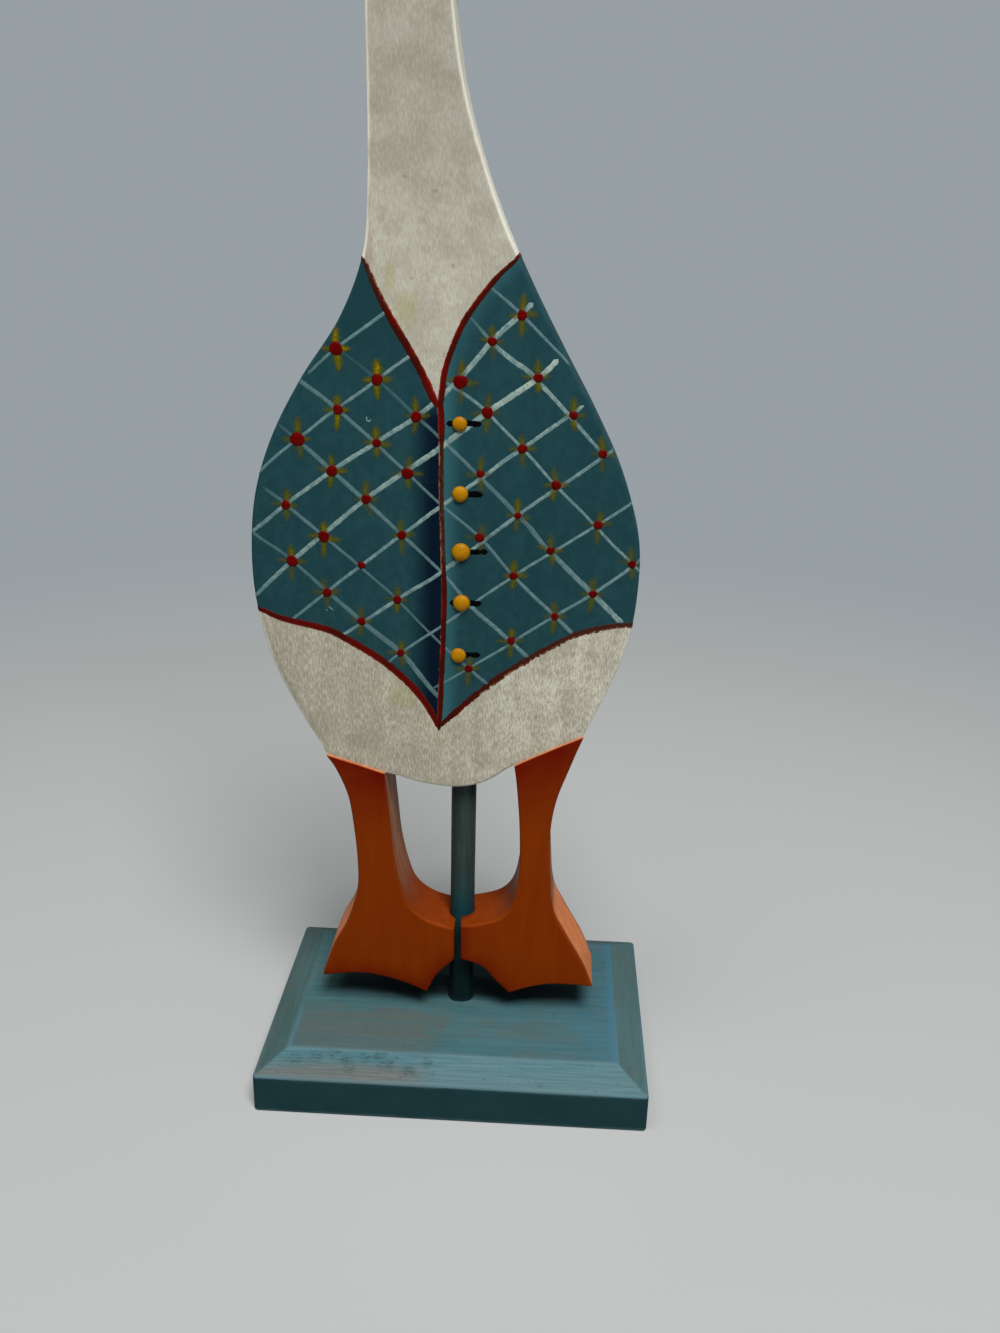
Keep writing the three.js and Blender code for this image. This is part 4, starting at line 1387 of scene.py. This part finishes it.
# x, height, the dot's width, and how strong its petals are
FLOWERS = [
    (-43.5, 280.4, 4.6, 1.0), (-57.4, 250.3, 5.0, 0.55), (-43.3, 260.6, 3.5, 0.85), (-30, 270.8, 4.0, 0.85),
    (-62.3, 227.5, 3.3, 0.5), (-45.9, 239.9, 4.0, 0.65), (-30.4, 249.9, 3.1, 0.75), (-17, 259, 3.8, 0.5),
    (-2.4, 270.9, 4.8, 0.4), (7.9, 284.1, 3.1, 0.5), (17.4, 292.5, 3.4, 0.6), (-60.9, 207.6, 4.2, 0.5),
    (-49.4, 216.8, 4.1, 0.8), (-34.3, 230.5, 3.5, 0.4), (-20.1, 239.9, 4.1, 0.5), (6.8, 261.1, 4.0, 0.45),
    (23.3, 272.9, 3.2, 0.6), (-48.8, 196.5, 3.4, 0.45), (-36.4, 207, 2.8, 0), (-22.1, 218.3, 3.3, 0.45),
    (4.8, 240.6, 2.8, 0.4), (18.8, 249.5, 3.4, 0.6), (35.4, 261.1, 2.9, 0.55), (-36.8, 186.3, 3.1, 0.5),
    (-23.9, 194.8, 3.2, 0.55), (4.9, 218.4, 3.3, 0.35), (17.9, 226.6, 2.5, 0.6), (30.6, 237.5, 3.4, 0.65),
    (45.8, 248.6, 3.0, 0.4), (-22.8, 174.9, 2.9, 0.5), (17, 205.1, 3.0, 0.55), (29.6, 214.6, 2.9, 0.5),
    (45.5, 224.3, 3.2, 0.4), (1.8, 169.8, 3.0, 0.5), (16.8, 181.1, 3.0, 0.5), (32, 190.8, 2.8, 0.5),
    (45, 199.6, 2.9, 0.45), (58, 210.8, 2.9, 0.35),
]
# way round from level, reach, half width and share of the strength, of the upper, lower, right
# and left petal
PETALS = [(90, 6.4, 2.5, 1.12), (270, 7.0, 2.2, 0.92), (0, 5.4, 2.1, 0.84), (180, 5.6, 1.8, 0.70)]


def dab_of_paint(x, height, radius, lift, back=False, sides=18):
    """A round dab with a slightly uneven rim and a domed top."""
    turn = np.linspace(0, 2 * math.pi, sides, endpoint=False)
    phase = hand.uniform(0, 2 * math.pi, 2)
    rim = radius * (1 + 0.05 * np.sin(2 * turn + phase[0]) + 0.04 * np.sin(3 * turn + phase[1]))
    rings = []
    for share, rise, _ in DAB_RINGS:
        flat = np.column_stack([x + rim * share * np.cos(turn), height + rim * share * np.sin(turn)])
        rings.append(on_goose(flat, lift * rise, back))
    points, faces = skin(rings)
    return points, faces, {"rim": np.repeat([mark for _, _, mark in DAB_RINGS], sides)}


def petals_round(x, height, size, strength, back=False):
    """Four soft petals round a dot, the upper one boldest and the lower one longest."""
    made = []
    for turn, length, half_width, share in PETALS:
        angle = math.radians(turn + hand.normal(0, 5))
        reach = length * hand.uniform(0.78, 1.12) * (0.7 + 0.3 * size / DOT_SIZE)
        way = np.array([math.cos(angle), math.sin(angle)])
        bend = np.array([-way[1], way[0]]) * hand.normal(0, 0.22)
        middle = np.array([x, height])
        line = smooth([middle + way * 0.6, middle + way * reach * 0.55 + bend, middle + way * reach])
        at = np.linspace(0, 1, len(line))
        widths = half_width * hand.uniform(0.85, 1.1) * np.interp(at, [0, 0.45, 1], [0.85, 1.0, 0.62])
        load = min(1.0, strength * share * hand.uniform(0.68, 1.2))
        line = with_width(line, widths, load * np.interp(at, [0, 0.55, 1], [1, 0.95, 0.30]))
        made.append(brush_stroke(line, PETAL_LIFT, back, blunt=1.2, wobble=0.02, ragged=0.08, step=0.5))
    return made


def clouded_paint(name, gloss, cloud_size, dark, light, dull, relief, depth, rim=None):
    """A finish of one slightly uneven paint. A rim says from where on it changes towards the
    rim that the mesh marks, by which share, and to which colour."""
    material, shader, place = start_paint(name, gloss)
    cloud = mottle_at(place, cloud_size)["Cloud"]
    colour = mix(cloud, dark, light)
    if rim:
        rim_from, share, rim_colour = rim
        colour = mix(fade(mark_on(place, "rim"), rim_from, 1.0, 0.0, share), colour, rim_colour, "rim")
    return end_paint(material, shader, colour, cloud, dull, relief, depth)


def crossing(rising, falling):
    """Where two straight strokes cross."""
    (a, b), (c, d) = rising, falling
    turn = np.column_stack([b - a, c - d])
    share = np.linalg.solve(turn, c - a)
    return a + (b - a) * share[0] if 0.02 < share[0] < 0.98 and 0.02 < share[1] < 0.98 else None


back_flowers = []
for rising_line in back_rising:
    for falling_line in back_falling:
        spot = crossing(rising_line, falling_line)
        if spot is not None and nearest_on(spot[None], vest_back)[0][0] > CLEAR_OF_EDGING:
            back_flowers.append((*spot, DOT_SIZE * hand.uniform(0.88, 1.2), hand.uniform(0.4, 0.85)))
petals, dots = [], []
for back, flowers in ((False, FLOWERS), (True, back_flowers)):
    for x, height, size, strength in flowers:
        if strength:
            petals += petals_round(x, height, size, strength, back)
        dots.append(dab_of_paint(x, height, size / 2, DOT_LIFT, back))
# yellow paint that is olive where it is thin, and glossy red paint that is darker at the rim
petal_olive = loaded_paint(
    "petal_olive", (0.080, 0.078, 0.0010), (0.300, 0.150, 0.0040),
    fills=1.9, soft_from=-0.15, gone_at=1.10, ragged=0.30, see_through=True,
)
dot_red = clouded_paint(
    "dot_red", 0.035, 4, dark=(0.070, 0.0006, 0.0004), light=(0.098, 0.0015, 0.0007), dull=(0.34, 0.46),
    relief=0.2, depth=0.05, rim=(0.6, 0.65, (0.050, 0.0015, 0.001)),
)
gather("vest_flower_petals", petals, petal_olive)
gather("vest_flower_dots", dots, dot_red)

# Vest edging
# Dark red lines, a little thicker than the lattice, along the neckline, down the front and
# along the hem, and on round the sawn edge and across the back.
EDGING_LIFT = 0.16
FRONT_OPENING = [
    (-9.2, 264), (-8.6, 257.5), (-8.5, 240), (-8.1, 220), (-7.3, 200), (-7.5, 180),
    (-8.1, 162.5), (-8.7, 149), (-8.9, 145),
]
# share of the way along the stroke, its half width, and its load of paint
LEFT_COLLAR_BRUSH = [
    (0, 0.8, 0.3), (0.17, 0.8, 0.22), (0.28, 1.1, 0.30), (0.5, 1.45, 0.46), (0.75, 1.5, 0.56),
    (0.92, 1.5, 0.88), (1, 1.2, 0.95),
]
FRONT_BRUSH = [
    (0, 0.6, 0.4), (0.055, 0.65, 0.4), (0.12, 1.05, 0.42), (0.25, 1.15, 0.52), (0.34, 1.25, 0.68),
    (0.4, 1.3, 0.60), (0.44, 1.0, 0.27), (0.63, 0.95, 0.27), (0.7, 1.15, 0.5), (0.97, 1.15, 0.46),
    (1, 0.7, 0.5),
]
LEFT_HEM_BRUSH = [
    (0, 0.8, 0.5), (0.11, 0.9, 0.5), (0.25, 1.35, 0.72), (0.5, 1.5, 0.62), (0.8, 1.55, 0.7), (1, 1.3, 0.65),
]
RIGHT_HEM_BRUSH = [
    (0, 1.0, 0.55), (0.1, 1.2, 0.46), (0.25, 1.3, 0.37), (0.5, 1.3, 0.31), (0.75, 1.2, 0.29),
    (0.88, 1.1, 0.25), (1, 0.8, 0.22),
]
BACK_BRUSH = [(0, 0.8, 0.5), (0.3, 1.35, 0.6), (0.7, 1.35, 0.7), (1, 0.8, 0.5)]


def round_the_side(line):
    """Leads a line that ends on the board's edge square across half of the sawn side."""
    line = np.array(line, float)
    for end in (0, -1):
        index = int(np.argmin(np.linalg.norm(goose_outline - line[end], axis=1)))
        out = goose_outward[index] / np.linalg.norm(goose_outward[index])
        more = goose_outline[index] + out * np.array([[0.0], [4.0], [BOARD_THICKNESS / 2 - 0.1]])
        line = np.vstack([more[::-1], line[1:]]) if end == 0 else np.vstack([line[:-1], more])
    return line


def edging_finish():
    """Red paint: brown and thin over the teal where the brush was nearly dry, dark and then
    bright where it was full, and rough along the side that lies on the cream."""
    material, shader, place = start_paint("edging_red", gloss=0.05)
    brush = streaks_at(place, 1.6, 1.6, 4)
    mottle = mottle_at(place, 10, 0.7)
    under = place_group(vest_teal_paint, {"Place": place})["Colour"]
    load, side = mark_on(place, "load"), mark_on(place, "cream")
    covers = reckon("MULTIPLY", load, fade(brush["Fine"], 0.0, 1.0, 2.6, 5.0), clamp=True)
    brown = mix(fade(load, 0.12, 0.27), (0.013, 0.0050, 0.0028), (0.038, 0.0080, 0.0030))
    brown = mix(fade(load, 0.27, 0.42), brown, (0.036, 0.0026, 0.0006))
    full = load + fade(mottle["Cloud"], 0.0, 1.0, -0.18, 0.12)
    bright = fade(side, 0.30, 0.75) * fade(full, 0.30, 0.55, 0.1, 0.75)
    vest_side = side + fade(brush["Fine"], 0.0, 1.0, -0.15, 0.15)
    rough = side + fade(mottle["Flecks"], 0.0, 1.0, 0.0, 0.35) + fade(brush["Fine"], 0.0, 1.0, -0.30, 0.30)
    dry = fade(load, 0.44, 0.34)
    bare = fade(rough, fade(dry, 0.0, 1.0, 0.98, 0.50), 1.20)
    colour = coats(under, [
        ("brown, nearly dry", covers, brown),
        ("dark red", fade(full, 0.42, 0.72), (0.074, 0.0014, 0.0003)),
        ("full red", fade(full, 0.80, 1.08), (0.125, 0.0040, 0.0018)),
        ("bright by the cream", bright, (0.170, 0.0120, 0.0050)),
        ("dark by the vest", fade(vest_side, -0.55, -1.0, 0.0, 0.75), (0.020, 0.0140, 0.0120)),
        ("reddish fringe", fade(rough, 0.25, 0.75) * dry, (0.130, 0.042, 0.018)),
        ("bare fringe", bare * 0.75, (0.300, 0.190, 0.110)),
    ])
    return end_paint(material, shader, colour, brush["Fine"], dull=(0.40, 0.52), relief=0.25, depth=0.06)


def edging_stroke(line, widths, cream_side, back=False, ragged=0.05):
    """One stroke of edging. Its widths list the share of the way, the half width and the load
    there; cream_side says on which side of it the cream lies, 1 for left and -1 for right."""
    at = np.linspace(0, 1, len(line))
    share, half_width, load = np.array(widths).T
    line = with_width(line, np.interp(at, share, half_width), np.interp(at, share, load))
    points, faces, marks = brush_stroke(
        line, EDGING_LIFT, back, blunt=0.8, wobble=0.05, ragged=ragged, step=0.7,
    )
    marks["cream"] = marks.pop("across") * cream_side
    return points, faces, marks


def edging_strokes():
    """The edging's strokes: the left collar, the right collar and on down the front, the two
    halves of the hem, and one each for collar and hem on the back."""
    neck, hem, back_neck, back_hem = (
        evenly(round_the_side(painted_lines[name]), 1.0)
        for name in ("neckline", "hem", "back_neckline", "back_hem")
    )
    turn_neck, turn_hem = int(np.argmin(neck[:, 1])), int(np.argmin(hem[:, 1]))
    down_front = evenly(np.vstack([neck[turn_neck + 2:][::-1], smooth(FRONT_OPENING)]), 1.0)
    return [
        edging_stroke(neck[:turn_neck + 1], LEFT_COLLAR_BRUSH, 1),
        edging_stroke(down_front, FRONT_BRUSH, -1),
        edging_stroke(hem[:turn_hem + 1], LEFT_HEM_BRUSH, -1),
        edging_stroke(hem[turn_hem:], RIGHT_HEM_BRUSH, -1, ragged=0.20),
        edging_stroke(back_neck, BACK_BRUSH, 1, True),
        edging_stroke(back_hem, BACK_BRUSH, -1, True),
    ]


gather("vest_edging", edging_strokes(), edging_finish())

# Vest specks
# Small pale drops and smears of paint that fell on the vest.
SPECK_LIFT = 0.06
SPECK_HALF_WIDTH = 0.22
SPECK_SMEARS = [
    [(-33.6, 258.7), (-33.7, 257.6), (-33.0, 257.0), (-32.2, 257.7)], [(-48.6, 191.4), (-46.8, 190.0)],
    [(-49.4, 190.2), (-48.9, 189.8)],
]
SPECK_DOTS = [(-4.3, 207.9, 0.55)]

specks = []
for line in SPECK_SMEARS:
    smear = smooth(with_width(line, SPECK_HALF_WIDTH))
    specks.append(brush_stroke(smear, SPECK_LIFT, blunt=0.4, wobble=0.02, ragged=0.1, step=0.25))
for x, height, radius in SPECK_DOTS:
    drop = with_width([(x - radius, height), (x + radius, height)], radius)
    specks.append(brush_stroke(drop, SPECK_LIFT, blunt=0.5, wobble=0, ragged=0.05, step=0.15))
# drops of the cream paint, greyer in patches
speck_pale = clouded_paint(
    "speck_pale", 0.05, 1.5, dark=(0.070, 0.140, 0.140), light=(0.190, 0.240, 0.200), dull=(0.5, 0.6),
    relief=0.2, depth=0.04,
)
gather("vest_specks", specks, speck_pale)

# Buttonholes
# A short black stroke beside each button, to its right.
BUTTONHOLE_LIFT = 0.12
BUTTONHOLE_HALF_WIDTH = 1.22
BUTTONHOLES = [
    [(-6.9, 257), (-3.5, 257.2), (5.0, 257.3)], [(-2, 233.2), (5.8, 233.6)], [(-1.5, 213), (7.9, 213.5)],
    [(-5.3, 194.3), (-1, 194.4), (6.0, 194.6)], [(-2, 174.8), (5.9, 175.2)],
]

hole_strokes = [
    brush_stroke(with_width(line, BUTTONHOLE_HALF_WIDTH), BUTTONHOLE_LIFT, blunt=0.6, wobble=0.05)
    for line in BUTTONHOLES
]
flat_black = clouded_paint(
    "buttonhole_black", 0.02, 3, dark=(0.0003, 0.0006, 0.0008), light=(0.0010, 0.0018, 0.0022),
    dull=(0.38, 0.55), relief=0.2, depth=0.05,
)
gather("vest_buttonholes", hole_strokes, flat_black)

# Buttons
# Five small domed wooden buttons, painted yellow and glued down the front beside the opening,
# each a little different in size.
BUTTONS = [(-2.4, 257.1, 5.0), (-2, 233.4, 5.6), (-1.5, 213, 6.5), (-1.1, 194.5, 6.1), (-2, 174.8, 5.6)]
BUTTON_RISE_SHARE = 0.3
BUTTON_LIFT = 0.1
BUTTON_RIM_RISE = 0.22
BUTTON_SIDES = 36


def make_button(number, x, height, width, finish):
    """Turns one domed button on the board's front."""
    turn = np.linspace(0, 2 * math.pi, BUTTON_SIDES, endpoint=False)
    rise = width * BUTTON_RISE_SHARE + BUTTON_LIFT
    face = ROD_AXIS[1] - BOARD_THICKNESS / 2
    bend = np.radians([0, 12, 26, 40, 54, 67, 79, 86])
    levels = [(0.93, -0.12, 1), (0.97, 0.12, 1)]
    for b in bend:
        out = BUTTON_RIM_RISE + (rise - BUTTON_RIM_RISE) * math.sin(b)
        levels.append((math.cos(b), out, 1 - b / (math.pi / 2)))
    rings = []
    for share, out, _ in levels:
        radius = share * width / 2
        ring_x = ROD_AXIS[0] + x + radius * np.cos(turn)
        ring_y = np.full(BUTTON_SIDES, face - out)
        rings.append(np.column_stack([ring_x, ring_y, height + radius * np.sin(turn)]))
    points, faces = skin(rings)
    marks = {"rim": np.repeat([level[2] for level in levels], BUTTON_SIDES)}
    piece = make_piece(f"domed_button_{number}", points, faces, finish, marks)
    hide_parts(f"button_{number}")


# satin yellow paint, darkened round the foot of the dome as painted shade
button_yellow = clouded_paint(
    "button_yellow", 0.07, 3, dark=(0.275, 0.112, 0.0002), light=(0.320, 0.148, 0.0004), dull=(0.34, 0.46),
    relief=0.25, depth=0.08, rim=(0.55, 0.8, (0.190, 0.080, 0.002)),
)
for number, (x, height, width) in enumerate(BUTTONS, 1):
    make_button(number, x, height, width, button_yellow)

# Eyes and mouth
# A small black dab with a raised middle on each face of the head, and a thin dark line along
# the beak. Their places are guessed, as the whole head is.
EYE_PLACE = (-9, 431.5)
EYE_SIZE = 5.0
EYE_LIFT = 0.5
EYE_SIDES = 28
MOUTH_LINE = [(34.0, 411.2), (27, 412.6), (18, 415.2), (10.5, 419.5)]
MOUTH_HALF_WIDTH = 0.55
MOUTH_LIFT = 0.08


def mouth_finish():
    """Thin dark brown-red paint."""
    material, shader, place = start_paint("mouth_dark", gloss=0.06)
    brush = streaks_at(place, 6, 1.2, 1.2)
    colour = mix(brush["Broad"], (0.026, 0.0030, 0.0012), (0.050, 0.0060, 0.0018))
    return end_paint(material, shader, colour, brush["Fine"], dull=(0.42, 0.55), relief=0.2, depth=0.05)


eyes = [dab_of_paint(*EYE_PLACE, EYE_SIZE / 2, EYE_LIFT, back, EYE_SIDES) for back in (False, True)]
gather("painted_eyes", eyes, flat_black)
mouth_line = with_width(smooth(MOUTH_LINE), MOUTH_HALF_WIDTH)
mouth = [brush_stroke(mouth_line, MOUTH_LIFT, back, wobble=0.05) for back in (False, True)]
gather("painted_mouth", mouth, mouth_finish())
